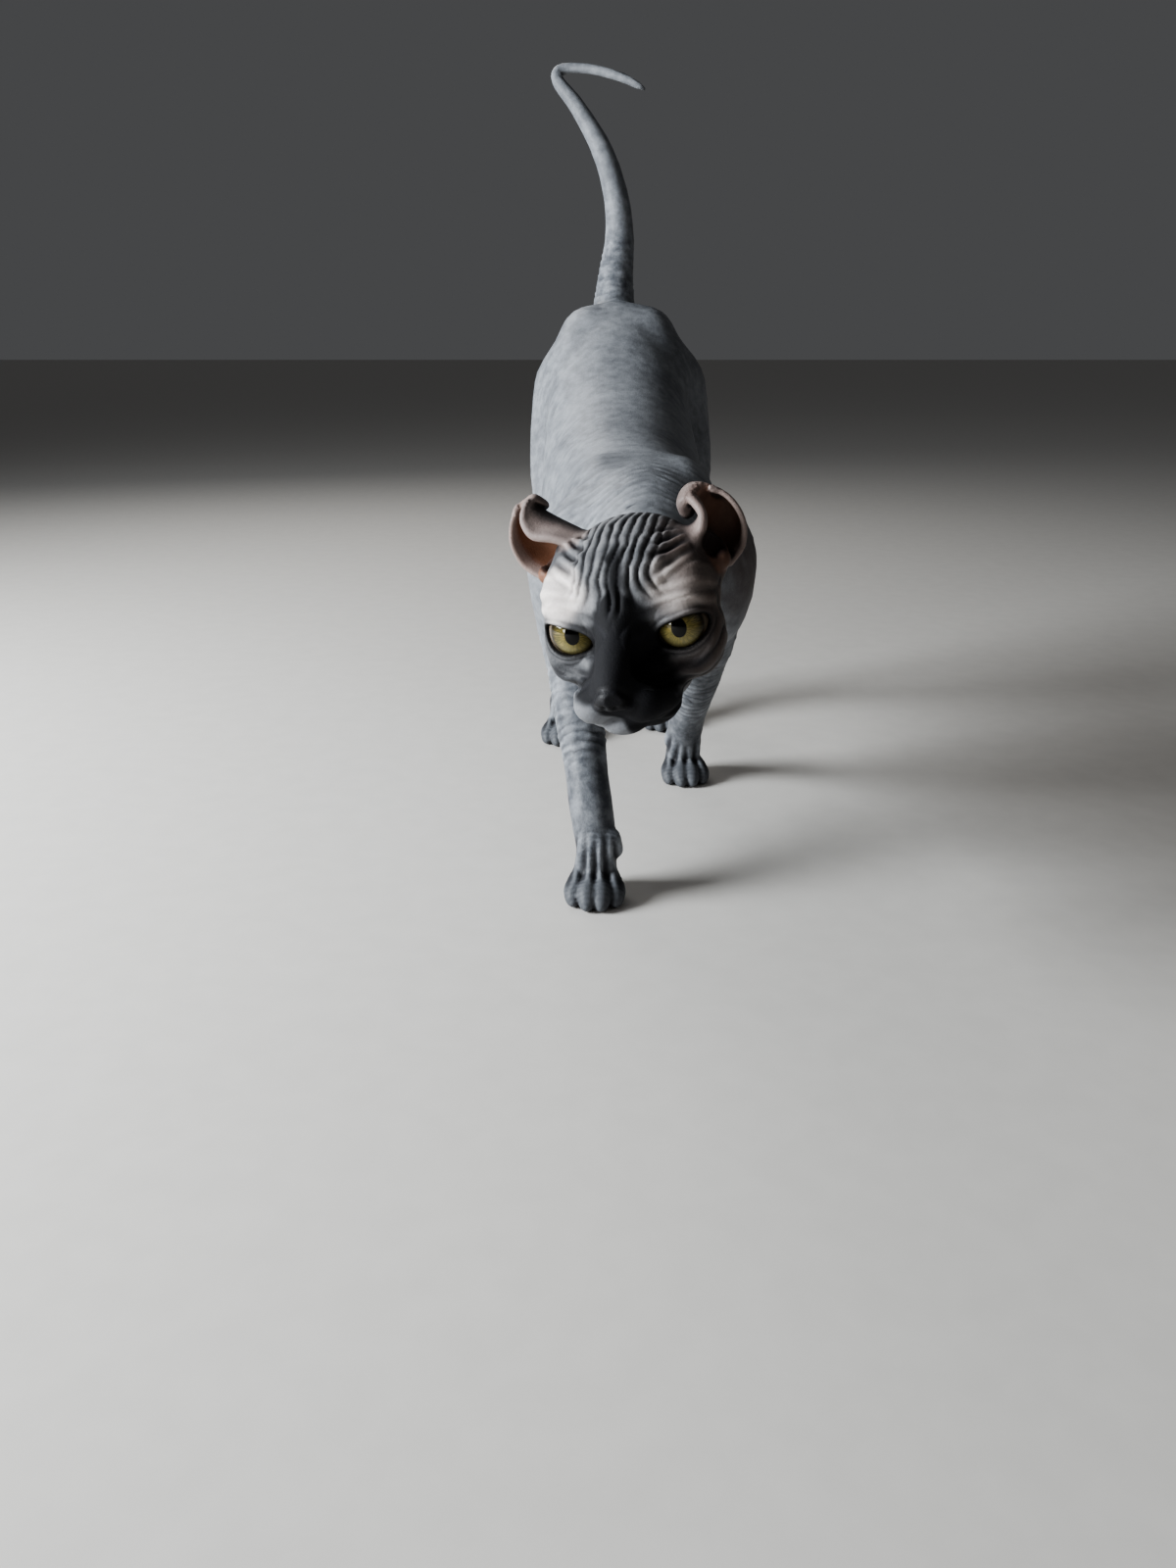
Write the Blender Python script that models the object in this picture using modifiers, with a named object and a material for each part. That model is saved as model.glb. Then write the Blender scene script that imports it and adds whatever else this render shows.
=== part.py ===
"""Sphynx cat with curled-back ears, walking with its head low, as a still life-size model.

The cat faces -Y. Its own right side is at -X. The floor is z = 0.
Each form is made from spheres, tapered tubes and one lofted trunk, fused and smoothed into
a skin, and the skin is then parted by thin flat cuts into the parts a person would name.
"""
import math

import bmesh
import bpy
from mathutils import Matrix, Vector
from mathutils.bvhtree import BVHTree

for old_object in list(bpy.data.objects):
    bpy.data.objects.remove(old_object, do_unlink=True)

# Driving sizes in metres
MM = 0.001
GAP = 0.00035
SIDES = {"right": -1, "left": 1}

HEAD_PLACE = Vector((-0.0104, -0.2352, 0.1610))
HEAD_YAW = math.radians(-17.5)
HEAD_PITCH = math.radians(9)
HEAD_ROLL = math.radians(-8.5)

EYE_RADIUS = 0.0121
EYE_SPACING = 0.0474
EYE_DEPTH = 0.0092
EYE_TURN = math.radians(14)
LID_WIDTH = 0.0214
LID_HEIGHT = 0.0148
LID_TILT = math.radians(17)

EAR_LENGTH = 0.0450
EAR_STRAIGHT_SHARE = 0.60
EAR_CURL_RADIUS = 0.0085
EAR_HALF_WIDTH = 0.0125
EAR_ROLL = 0.0030
EAR_WALL = 0.0020

# Root, direction and opening of each ear in head millimetres: the two are not held alike
EARS = {
    "right": {"root": (-32, 30, 16), "axis": (-0.30, 0.10, 0.95), "facing": (-0.60, -0.80, 0.05)},
    "left": {"root": (30, 31, 14), "axis": (0.16, 0.10, 0.98), "facing": (0.40, -0.92, 0.05)},
}

PAW_WIDTH = 0.030
TOE_RADIUS = 0.0056
FLOOR_CUT = 0.0012

HEAD_VOXEL = 0.0008
BODY_VOXEL = 0.0013

# Back line and trunk: distance along the body, top, underside, half width, sideways place
TRUNK = (
    (-0.128, 0.200, 0.145, 0.026, 0.004),
    (-0.112, 0.209, 0.124, 0.038, 0.004),
    (-0.085, 0.215, 0.112, 0.045, 0.004),
    (-0.045, 0.220, 0.109, 0.047, 0.002),
    (0.000, 0.227, 0.113, 0.0495, -0.002),
    (0.040, 0.238, 0.122, 0.0515, -0.003),
    (0.075, 0.252, 0.148, 0.050, -0.004),
    (0.100, 0.264, 0.180, 0.048, -0.005),
    (0.135, 0.285, 0.198, 0.044, -0.005),
    (0.170, 0.3015, 0.214, 0.040, -0.004),
    (0.196, 0.3015, 0.235, 0.031, -0.004),
    (0.211, 0.288, 0.250, 0.016, -0.004),
)

# Triangles that each part keeps
TRIANGLES = {
    "head": 4200,
    "neck": 700,
    "chest": 1500,
    "belly": 700,
    "rump": 1700,
    "tail_base": 220,
    "tail_middle": 200,
    "tail_tip": 220,
    "foreleg": 330,
    "forepaw": 620,
    "hindleg": 420,
    "hindfoot": 640,
}

SKIN_COLOURS = {
    "slate": (0.165, 0.170, 0.190),
    "dark": (0.080, 0.080, 0.090),
    "ear": (0.420, 0.250, 0.220),
    "iris": (0.420, 0.440, 0.160),
}

parts_collection = bpy.data.collections.new("SphynxCat")
bpy.context.scene.collection.children.link(parts_collection)


def link(new_object):
    parts_collection.objects.link(new_object)
    return new_object


def evaluated_copy(source, name):
    """Mesh object of what the source looks like with its modifiers; the source is removed."""
    graph = bpy.context.evaluated_depsgraph_get()
    mesh = bpy.data.meshes.new_from_object(source.evaluated_get(graph))
    result = link(bpy.data.objects.new(name, mesh))
    result.matrix_world = source.matrix_world.copy()
    bpy.data.objects.remove(source, do_unlink=True)
    return result


def weld(target, distance=1e-6):
    shape = bmesh.new()
    shape.from_mesh(target.data)
    bmesh.ops.remove_doubles(shape, verts=shape.verts, dist=distance)
    bmesh.ops.recalc_face_normals(shape, faces=shape.faces)
    shape.to_mesh(target.data)
    shape.free()


# Smooth path through a few points

def smooth_path(stations, steps=8):
    """Catmull-Rom samples through stations, each a tuple of numbers."""
    rows = [Vector(station) for station in stations]
    rows = [rows[0] * 2 - rows[1]] + rows + [rows[-1] * 2 - rows[-2]]
    samples = []
    for index in range(1, len(rows) - 2):
        before, start, end, after = rows[index - 1:index + 3]
        for step in range(steps):
            t = step / steps
            samples.append(
                start * (1 - 2.5 * t * t + 1.5 * t ** 3)
                + end * (0.5 * t + 2 * t * t - 1.5 * t ** 3)
                + before * (-0.5 * t + t * t - 0.5 * t ** 3)
                + after * (-0.5 * t * t + 0.5 * t ** 3)
            )
    samples.append(rows[-2])
    return samples


def tube(name, stations, steps=8, sides=16):
    """Tapered tube through stations of (x, y, z, radius), closed at both ends."""
    samples = smooth_path(stations, steps)
    data = bpy.data.curves.new(name, "CURVE")
    data.dimensions = "3D"
    data.bevel_depth = 1.0
    data.bevel_resolution = (sides - 4) // 2
    data.use_fill_caps = True
    spline = data.splines.new("POLY")
    spline.points.add(len(samples) - 1)
    for point, sample in zip(spline.points, samples):
        point.co = (sample[0], sample[1], sample[2], 1)
        point.radius = max(sample[3], 0.0002)
    result = evaluated_copy(link(bpy.data.objects.new(name, data)), name)
    weld(result)
    return result


def ball(name, centre, radii, turn=None, segments=28):
    """Ellipsoid of the given radii about its centre."""
    bpy.ops.mesh.primitive_uv_sphere_add(segments=segments, ring_count=segments // 2 + 2, radius=1)
    result = bpy.context.active_object
    for collection in list(result.users_collection):
        collection.objects.unlink(result)
    link(result)
    result.name = name
    turn = turn or Matrix.Identity(4)
    matrix = Matrix.Translation(centre) @ turn @ Matrix.Diagonal((*radii, 1))
    result.data.transform(matrix)
    return result


def closed_loft(name, rings):
    """Closed solid through rings of equal point counts, with a fan at each end."""
    shape = bmesh.new()
    rows = [[shape.verts.new(point) for point in ring] for ring in rings]
    count = len(rows[0])
    for row, following in zip(rows, rows[1:]):
        for index in range(count):
            after = (index + 1) % count
            shape.faces.new((row[index], row[after], following[after], following[index]))
    shape.faces.new(list(reversed(rows[0])))
    shape.faces.new(rows[-1])
    bmesh.ops.recalc_face_normals(shape, faces=shape.faces)
    mesh = bpy.data.meshes.new(name)
    shape.to_mesh(mesh)
    shape.free()
    return link(bpy.data.objects.new(name, mesh))


# Fusing, smoothing and cutting

def join(name, pieces):
    shape = bmesh.new()
    for piece in pieces:
        mesh = piece.data.copy()
        mesh.transform(piece.matrix_world)
        shape.from_mesh(mesh)
        bpy.data.meshes.remove(mesh)
        bpy.data.objects.remove(piece, do_unlink=True)
    mesh = bpy.data.meshes.new(name)
    shape.to_mesh(mesh)
    shape.free()
    return link(bpy.data.objects.new(name, mesh))


def fuse(name, pieces, voxel, smoothing):
    """One closed skin round all the pieces."""
    whole = join(name, pieces)
    remesh = whole.modifiers.new("Skin", "REMESH")
    remesh.mode = "VOXEL"
    remesh.voxel_size = voxel
    soften = whole.modifiers.new("Soften", "SMOOTH")
    soften.factor = 0.5
    soften.iterations = smoothing
    return evaluated_copy(whole, name)


def thin_out(target, triangles):
    """Collapse a dense skin to about so many triangles."""
    shape = bmesh.new()
    shape.from_mesh(target.data)
    bmesh.ops.triangulate(shape, faces=shape.faces)
    shape.to_mesh(target.data)
    count = len(shape.faces)
    shape.free()
    if count <= triangles:
        return target
    collapse = target.modifiers.new("Collapse", "DECIMATE")
    collapse.ratio = triangles / count
    collapse.use_collapse_triangulate = True
    return drop_folded_pairs(evaluated_copy(target, target.name))


def drop_folded_pairs(target):
    """Take out pairs of triangles that the collapse has folded flat on each other."""
    shape = bmesh.new()
    shape.from_mesh(target.data)
    seen = {}
    for face in shape.faces:
        seen.setdefault(frozenset(vertex.index for vertex in face.verts), []).append(face)
    folded = [face for pair in seen.values() if len(pair) > 1 for face in pair]
    if folded:
        bmesh.ops.delete(shape, geom=folded, context="FACES")
    shape.to_mesh(target.data)
    shape.free()
    return target


def boolean(target, tools, operation, solver="EXACT"):
    """Cut or join with a list of closed tools, which are removed after."""
    tool = tools[0] if len(tools) == 1 else join("tool", tools)
    change = target.modifiers.new("Change", "BOOLEAN")
    change.operation = operation
    change.solver = solver
    change.object = tool
    if solver == "EXACT":
        change.use_self = True
    result = evaluated_copy(target, target.name)
    bpy.data.objects.remove(tool, do_unlink=True)
    return result


def loose_bodies(target):
    """Split an object into its closed surfaces, largest first; the object is removed."""
    vertices = target.data.vertices
    neighbours = [[] for _ in vertices]
    for edge in target.data.edges:
        first, second = edge.vertices
        neighbours[first].append(second)
        neighbours[second].append(first)
    group_of = [-1] * len(vertices)
    groups = []
    for start in range(len(vertices)):
        if group_of[start] >= 0:
            continue
        group_of[start] = len(groups)
        members = [start]
        for current in members:
            for other in neighbours[current]:
                if group_of[other] < 0:
                    group_of[other] = len(groups)
                    members.append(other)
        groups.append(members)
    place_of = [0] * len(vertices)
    for members in groups:
        for place, index in enumerate(members):
            place_of[index] = place
    faces = [[] for _ in groups]
    for polygon in target.data.polygons:
        corners = polygon.vertices
        faces[group_of[corners[0]]].append([place_of[corner] for corner in corners])
    results = []
    for members, corners in sorted(zip(groups, faces), key=lambda pair: -len(pair[0])):
        mesh = bpy.data.meshes.new(target.name)
        mesh.from_pydata([vertices[index].co for index in members], [], corners)
        results.append(link(bpy.data.objects.new(target.name, mesh)))
    bpy.data.objects.remove(target, do_unlink=True)
    return results


def largest_body(target):
    bodies = loose_bodies(target)
    for scrap in bodies[1:]:
        bpy.data.objects.remove(scrap, do_unlink=True)
    return bodies[0]


def slab(centre, normal, width, height, across=Vector((1, 0, 0)), thickness=GAP):
    """Thin box whose flat side faces along normal; width runs along across."""
    normal = Vector(normal).normalized()
    side = (across - normal * across.dot(normal)).normalized()
    up = normal.cross(side)
    bpy.ops.mesh.primitive_cube_add(size=1)
    result = bpy.context.active_object
    for collection in list(result.users_collection):
        collection.objects.unlink(result)
    link(result)
    turn = Matrix((side, up, normal)).transposed().to_4x4()
    sizes = Matrix.Diagonal((width, height, thickness, 1))
    result.data.transform(Matrix.Translation(Vector(centre)) @ turn @ sizes)
    return result


def folds_on(target, paths, prefix):
    """Half-sunk tubes along the surface of target, one for each path of (points, radius)."""
    surface = BVHTree.FromPolygons(
        [vertex.co.copy() for vertex in target.data.vertices],
        [tuple(polygon.vertices) for polygon in target.data.polygons],
    )
    tubes = []
    for number, (points, radius) in enumerate(paths):
        samples = smooth_path([tuple(point) for point in points], steps=12)
        last = len(samples) - 1
        stations = []
        for index, sample in enumerate(samples):
            place, normal, _, _ = surface.find_nearest(sample)
            swell = 0.35 + 0.65 * math.sin(math.pi * min(max(index / last, 0.02), 0.98)) ** 0.6
            centre = place - normal * radius * (0.4 + 0.6 * (1 - swell))
            stations.append((*centre, radius * swell))
        tubes.append(tube(f"{prefix}_{number}", stations, steps=1, sides=10))
    return tubes


# Head, in its own millimetres: x to the cat's left, y backwards, z up, from between the eyes

head_matrix = (
    Matrix.Translation(HEAD_PLACE)
    @ Matrix.Rotation(HEAD_YAW, 4, "Z")
    @ Matrix.Rotation(HEAD_PITCH, 4, "X")
    @ Matrix.Rotation(HEAD_ROLL, 4, "Y")
)
head_turn = head_matrix.to_3x3().to_4x4()


def head_point(x, y, z):
    return head_matrix @ (Vector((x, y, z)) * MM)


def head_ball(name, centre, radii, tilt=0.0, axis="X", segments=28):
    turn = head_turn @ Matrix.Rotation(math.radians(tilt), 4, axis)
    return ball(name, head_point(*centre), [radius * MM for radius in radii], turn, segments)


def head_tube(name, stations, steps=8, sides=16):
    rows = [(*head_point(*station[:3]), station[3] * MM) for station in stations]
    return tube(name, rows, steps, sides)


def eye_centre(side):
    return head_point(side * EYE_SPACING / 2 / MM, EYE_DEPTH / MM, 0)


def skull_pieces():
    pieces = [
        head_ball("cranium", (0, 32, 11), (33, 33, 30)),
        head_ball("forehead", (0, 14, 13), (30, 18, 22)),
        head_ball("brow", (0, 9, 6), (34, 14, 13)),
        head_ball("muzzle", (0, -12, -19), (17, 17, 13)),
        head_ball("chin", (0, -16, -32), (11, 9.5, 6)),
        head_ball("jaw", (0, 8, -22), (27, 24, 13)),
        head_ball("nape", (0, 44, 0), (29, 24, 26)),
        head_tube("bridge", (
            (0, 16, 14, 11), (0, 3, 8, 12.5), (0, -6, 0, 11.5), (0, -17, -8, 9.8), (0, -25, -13.5, 7.4))),
        head_ball("nose", (0, -28.5, -16.5), (6.8, 4.4, 5.4)),
    ]
    for name, side in SIDES.items():
        pieces += [
            head_ball(f"cheek_{name}", (side * 26, 15, -11), (14, 20, 15)),
            head_ball(f"temple_{name}", (side * 27, 18, 11), (13, 18, 16)),
            head_ball(f"cheekbone_{name}", (side * 28.5, 13, -5), (10.5, 14, 11)),
            head_ball(f"under_eye_{name}", (side * 16, 0, -12), (14, 12, 10.5)),
            head_ball(f"nose_side_{name}", (side * 10, -3, -6), (8.5, 10, 12)),
            head_ball(f"whisker_pad_{name}", (side * 11, -18.5, -23), (11, 11, 9.5)),
            head_ball(f"lip_{name}", (side * 17.5, -6, -25.5), (9.5, 13, 8.5)),
            head_ball(f"side_of_crown_{name}", (side * 24, 28, 18), (13, 18, 16)),
            head_ball(f"lid_{name}", (side * EYE_SPACING / 2 / MM, EYE_DEPTH / MM, 0), (13.8, 13.8, 13.6)),
            head_ball(f"ear_root_{name}", (side * 31, 31, 20), (11.5, 11, 12)),
        ]
    return pieces


def neck_pieces():
    return [
        tube("neck", (
            (*head_point(0, 30, -8), 0.023),
            (*head_point(0, 52, -10), 0.0265),
            (0.004, -0.145, 0.168, 0.0310),
            (0.004, -0.112, 0.168, 0.0390),
            (0.003, -0.080, 0.168, 0.0420),
        )),
        tube("throat", (
            (*head_point(0, 18, -26), 0.015),
            (*head_point(0, 38, -28), 0.019),
            (0.004, -0.140, 0.148, 0.0240),
            (0.004, -0.105, 0.145, 0.0280),
        )),
    ]


def head_fold_paths():
    """Skin folds of the head as paths of points with a tube radius."""
    paths = []
    for index in range(-4, 5):
        spread = index * 4.4
        lean = abs(index) / 4
        low = (spread * 1.05, -5 + 7 * lean, 13 + 2 * lean)
        middle = (spread * 0.95, 2 + 5 * lean, 28 - 2 * lean)
        high = (spread * 1.05, 20 + 4 * lean, 41 - 2 * lean)
        paths.append(([head_point(*low), head_point(*middle), head_point(*high)], 0.0017))
    for side in SIDES.values():
        brow = ((side * 15, -7, 13), (side * 24, -5, 16), (side * 33, 2, 15), (side * 39, 12, 9))
        bag = ((side * 12, -10, -9), (side * 21, -10, -15), (side * 32, -3, -14), (side * 40, 8, -7))
        jowl = ((side * 14, -24, -15), (side * 23, -13, -19), (side * 31, 4, -20))
        for path, radius in ((brow, 0.0014), (bag, 0.0013), (jowl, 0.0012)):
            paths.append(([head_point(*point) for point in path], radius))
    return paths


# Trunk, legs, paws and tail, in metres

def trunk_piece():
    rings = []
    for along, top, under, half_width, middle in smooth_path(TRUNK, 4):
        centre = (top * 0.52 + under * 0.48)
        ring = []
        for step in range(32):
            angle = 2 * math.pi * step / 32
            flat = math.copysign(abs(math.cos(angle)) ** 0.88, math.cos(angle))
            rise = math.copysign(abs(math.sin(angle)) ** 0.92, math.sin(angle))
            reach = (top - centre) if rise > 0 else (centre - under)
            ring.append((middle + half_width * flat, along, centre + reach * rise))
        rings.append(ring)
    return closed_loft("trunk", rings)


FORELEGS = {
    "right": {
        "shoulder": (-0.036, -0.098, 0.168),
        "elbow": (-0.0345, -0.084, 0.117),
        "wrist": (-0.0235, -0.142, 0.046),
        "ankle": (-0.0200, -0.1535, 0.026),
        "toes": (-0.0220, -0.1795),
        "turn": -2,
    },
    "left": {
        "shoulder": (0.041, -0.094, 0.165),
        "elbow": (0.0445, -0.046, 0.110),
        "wrist": (0.0392, 0.012, 0.043),
        "ankle": (0.0392, 0.022, 0.024),
        "toes": (0.0402, -0.0010),
        "turn": 3,
    },
}

HINDLEGS = {
    "right": {
        "hip": (-0.034, 0.160, 0.243),
        "knee": (-0.0435, 0.108, 0.166),
        "hock": (-0.0405, 0.166, 0.073),
        "ankle": (-0.0430, 0.118, 0.024),
        "toes": (-0.0440, 0.081),
        "turn": -3,
    },
    "left": {
        "hip": (0.030, 0.165, 0.243),
        "knee": (0.0400, 0.122, 0.160),
        "hock": (0.0330, 0.184, 0.072),
        "ankle": (0.0325, 0.146, 0.024),
        "toes": (0.0330, 0.114),
        "turn": 3,
    },
}


def between(first, second, share):
    return Vector(first).lerp(Vector(second), share)


def paw_pieces(name, toes, ankle, turn, side, dewclaw):
    """Four long toes, a main pad, a heel of the foot and the toe pads under them."""
    tip = Vector((toes[0], toes[1], 0))
    facing = Matrix.Translation(tip) @ Matrix.Rotation(math.radians(turn), 4, "Z")
    pieces = []
    for number, across in enumerate((-1.5, -0.5, 0.5, 1.5)):
        middle = abs(across) < 1
        spread = across * PAW_WIDTH / 4.25
        start = 0 if middle else 0.0050
        rows = (
            (spread * 0.62, 0.026, 0.0135, TOE_RADIUS * 0.98),
            (spread * 0.86, 0.016 + start, 0.0118, TOE_RADIUS * 0.98),
            (spread, 0.0095 + start, 0.0088, TOE_RADIUS * 1.02),
            (spread * 1.02, 0.0050 + start, 0.0058, TOE_RADIUS * 0.92),
            (spread * 1.03, 0.0012 + start, 0.0046, TOE_RADIUS * 0.50),
        )
        stations = [(*(facing @ Vector(row[:3])), row[3]) for row in rows]
        pieces.append(tube(f"{name}_toe_{number}", stations, 4, 12))
        pad = facing @ Vector((spread * 1.02, 0.0080 + start, 0.0028))
        pieces.append(ball(f"{name}_toe_pad_{number}", pad, (0.0038, 0.0050, 0.0042)))
        claw_root = facing @ Vector((spread * 1.03, 0.0030 + start, 0.0070))
        claw_tip = facing @ Vector((spread * 1.03, -0.0005 + start, 0.0042))
        claw = [(*claw_root, 0.0016), (*between(claw_root, claw_tip, 0.5), 0.0012), (*claw_tip, 0.0006)]
        pieces.append(tube(f"{name}_claw_{number}", claw, 4, 8))
    main_pad = facing @ Vector((0, 0.0235, 0.0040))
    pieces.append(ball(f"{name}_main_pad", main_pad, (0.0095, 0.0075, 0.0056)))
    knuckles = facing @ Vector((0, 0.0235, 0.0135))
    pieces.append(ball(f"{name}_knuckles", knuckles, (0.0115, 0.0100, 0.0085)))
    back = facing @ Vector((0, 0.0290, 0.0140))
    pieces.append(tube(f"{name}_instep", ((*back, 0.0095), (*between(back, ankle, 0.5), 0.0104), (*ankle, 0.0104))))
    if dewclaw:
        place = Vector(ankle) + Vector((-side * 0.0105, -0.002, 0.006))
        pieces.append(ball(f"{name}_dewclaw", place, (0.0040, 0.0045, 0.0055)))
    return pieces


def foreleg_pieces():
    pieces = []
    for name, side in SIDES.items():
        leg = FORELEGS[name]
        upper = between(leg["shoulder"], leg["elbow"], 0.5)
        forearm = between(leg["elbow"], leg["wrist"], 0.42)
        pieces += [
            tube(f"upper_arm_{name}", (
                (*leg["shoulder"], 0.022),
                (*upper, 0.0195),
                (*leg["elbow"], 0.0145),
            )),
            tube(f"forearm_{name}", (
                (*between(leg["shoulder"], leg["elbow"], 0.8), 0.0160),
                (*leg["elbow"], 0.0148),
                (*forearm, 0.0128),
                (*between(leg["elbow"], leg["wrist"], 0.8), 0.0108),
                (*leg["wrist"], 0.0116),
                (*leg["ankle"], 0.0112),
            )),
            ball(f"elbow_{name}", Vector(leg["elbow"]) + Vector((side * 0.001, 0.008, 0.001)),
                 (0.0090, 0.0100, 0.0100)),
            ball(f"shoulder_{name}", (side * 0.037 + 0.006, -0.092, 0.160), (0.0205, 0.034, 0.040)),
            ball(f"shoulder_blade_{name}", (side * 0.023 + 0.004, -0.062, 0.188), (0.017, 0.040, 0.028)),
        ]
        pieces += paw_pieces(f"forepaw_{name}", leg["toes"], leg["ankle"], leg["turn"], side, True)
    return pieces


def hindleg_pieces():
    pieces = []
    for name, side in SIDES.items():
        leg = HINDLEGS[name]
        hip, knee, hock, ankle = (Vector(leg[key]) for key in ("hip", "knee", "hock", "ankle"))
        pieces += [
            ball(f"haunch_{name}", hip + Vector((side * 0.0, -0.006, -0.010)), (0.0255, 0.040, 0.041)),
            tube(f"thigh_{name}", (
                (*hip, 0.029),
                (*between(hip, knee, 0.55), 0.0270),
                (*knee, 0.0185),
            )),
            tube(f"thigh_back_{name}", (
                (*(hip + Vector((0, 0.014, -0.020))), 0.0200),
                (*(between(hip, knee, 0.6) + Vector((0, 0.026, 0))), 0.0170),
                (*(between(knee, hock, 0.28) + Vector((0, 0.009, 0.002))), 0.0110),
            )),
            tube(f"shank_{name}", (
                (*knee, 0.0180),
                (*between(knee, hock, 0.35), 0.0140),
                (*between(knee, hock, 0.72), 0.0098),
                (*hock, 0.0090),
            )),
            tube(f"heel_cord_{name}", (
                (*(between(knee, hock, 0.45) + Vector((0, 0.010, 0.002))), 0.0062),
                (*(between(knee, hock, 0.75) + Vector((0, 0.0085, 0.004))), 0.0045),
                (*(hock + Vector((0, 0.0065, 0.004))), 0.0062),
            )),
            tube(f"foot_{name}", (
                (*(hock + Vector((0, 0.003, 0.003))), 0.0088),
                (*hock, 0.0092),
                (*between(hock, ankle, 0.5), 0.0086),
                (*ankle, 0.0090),
            )),
        ]
        pieces += paw_pieces(f"hindpaw_{name}", leg["toes"], leg["ankle"], leg["turn"], side, False)
    return pieces


TAIL = (
    (-0.0050, 0.1780, 0.2700, 0.0190),
    (-0.0062, 0.1960, 0.2920, 0.0160),
    (-0.0050, 0.2060, 0.3180, 0.0130),
    (-0.0022, 0.2120, 0.3450, 0.0112),
    (-0.0050, 0.2160, 0.3730, 0.0098),
    (-0.0150, 0.2210, 0.4030, 0.0086),
    (-0.0330, 0.2300, 0.4320, 0.0068),
    (-0.0460, 0.2370, 0.4480, 0.0055),
    (-0.0455, 0.2400, 0.4555, 0.0048),
    (-0.0340, 0.2380, 0.4570, 0.0045),
    (-0.0180, 0.2330, 0.4545, 0.0046),
    (-0.0010, 0.2270, 0.4490, 0.0046),
    (0.0090, 0.2230, 0.4440, 0.0036),
    (0.0145, 0.2210, 0.4410, 0.0014),
)


def body_fold_paths():
    """Skin folds of the neck, back, flanks, legs and tail root."""
    paths = []
    for index in range(7):
        along = -0.050 + index * 0.022
        height = 0.225 + 0.16 * max(along, 0)
        paths.append(([
            Vector((-0.036, along + 0.004, height - 0.012)),
            Vector((-0.002, along, height + 0.01)),
            Vector((0.034, along + 0.004, height - 0.012)),
        ], 0.0021))
    for side in SIDES.values():
        for index in range(4):
            along = -0.150 + index * 0.013
            paths.append(([
                Vector((side * 0.006 + 0.004, along - 0.006, 0.206)),
                Vector((side * 0.026 + 0.004, along + 0.002, 0.190)),
                Vector((side * 0.036 + 0.004, along + 0.008, 0.166)),
                Vector((side * 0.030 + 0.004, along + 0.004, 0.140)),
            ], 0.0026))
    for leg in FORELEGS.values():
        for share in (0.12, 0.24, 0.38):
            centre = between(leg["elbow"], leg["wrist"], share)
            axis = (Vector(leg["wrist"]) - Vector(leg["elbow"])).normalized()
            paths.append((ring_points(centre, axis, 0.014), 0.0017))
    for along in (0.05, 0.11, 0.17):
        centre = between(TAIL[1][:3], TAIL[4][:3], along * 2)
        paths.append((ring_points(centre, Vector((0, 0.2, 1)), 0.014), 0.0016))
    return paths


def ring_points(centre, axis, radius):
    """Three quarters of a ring about an axis, its gap at the back."""
    side = Vector((1, 0, 0))
    side = (side - axis * side.dot(axis)).normalized()
    front = axis.cross(side)
    points = []
    for step in range(9):
        angle = math.radians(-135 + 270 * step / 8)
        points.append(centre + (side * math.sin(angle) - front * math.cos(angle)) * radius)
    return points


# Cuts between the parts, each a thin flat box

def neck_cut():
    return slab(head_point(0, 37, -6), head_turn.to_3x3() @ Vector((0, 0.88, -0.47)), 0.100, 0.100)


def body_cuts():
    cuts = [
        neck_cut(),
        slab((0.004, -0.1345, 0.170), (0, 1, 0.12), 0.090, 0.098),
        slab((0, 0.002, 0.170), (0, 1, 0), 0.130, 0.125),
        slab((0, 0.076, 0.200), (0, 1, -0.10), 0.130, 0.130),
        slab((-0.0062, 0.2010, 0.3040), (0, 0.42, 1), 0.045, 0.045),
        slab((-0.0062, 0.2168, 0.3780), (-0.22, 0.17, 1), 0.040, 0.040),
        slab((-0.0345, 0.2312, 0.4345), (-0.55, 0.25, 0.72), 0.030, 0.030),
    ]
    for name, side in SIDES.items():
        leg = FORELEGS[name]
        axis = Vector(leg["wrist"]) - Vector(leg["elbow"])
        cuts.append(slab(between(leg["elbow"], leg["wrist"], 0.26), axis, 0.040, 0.044))
        cuts.append(slab(leg["wrist"], axis, 0.040, 0.040))
        hind = HINDLEGS[name]
        hock, ankle = (Vector(hind[key]) for key in ("hock", "ankle"))
        cuts.append(slab((side * 0.0385, 0.148, 0.178), (0, -0.25, 1), 0.0750, 0.130))
        cuts.append(slab(between(hock, ankle, 0.28), ankle - hock, 0.030, 0.036))
    return cuts


def part_anchors():
    """A point well inside each part, by which the cut pieces get their names."""
    anchors = {
        "neck": Vector((0.004, -0.150, 0.170)),
        "chest": Vector((0.003, -0.065, 0.165)),
        "belly": Vector((-0.003, 0.040, 0.180)),
        "rump": Vector((-0.004, 0.145, 0.240)),
        "tail_base": Vector((-0.0022, 0.2120, 0.3420)),
        "tail_middle": Vector((-0.0180, 0.2225, 0.4080)),
        "tail_tip": Vector((-0.0180, 0.2330, 0.4545)),
    }
    for name in SIDES:
        leg = FORELEGS[name]
        hind = HINDLEGS[name]
        anchors[f"foreleg_{name}"] = between(leg["elbow"], leg["wrist"], 0.62)
        anchors[f"forepaw_{name}"] = Vector((leg["toes"][0], leg["toes"][1] + 0.022, 0.014))
        anchors[f"hindleg_{name}"] = between(hind["knee"], hind["hock"], 0.65)
        anchors[f"hindfoot_{name}"] = Vector((hind["toes"][0], hind["toes"][1] + 0.030, 0.016))
    return anchors


# Materials

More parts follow.
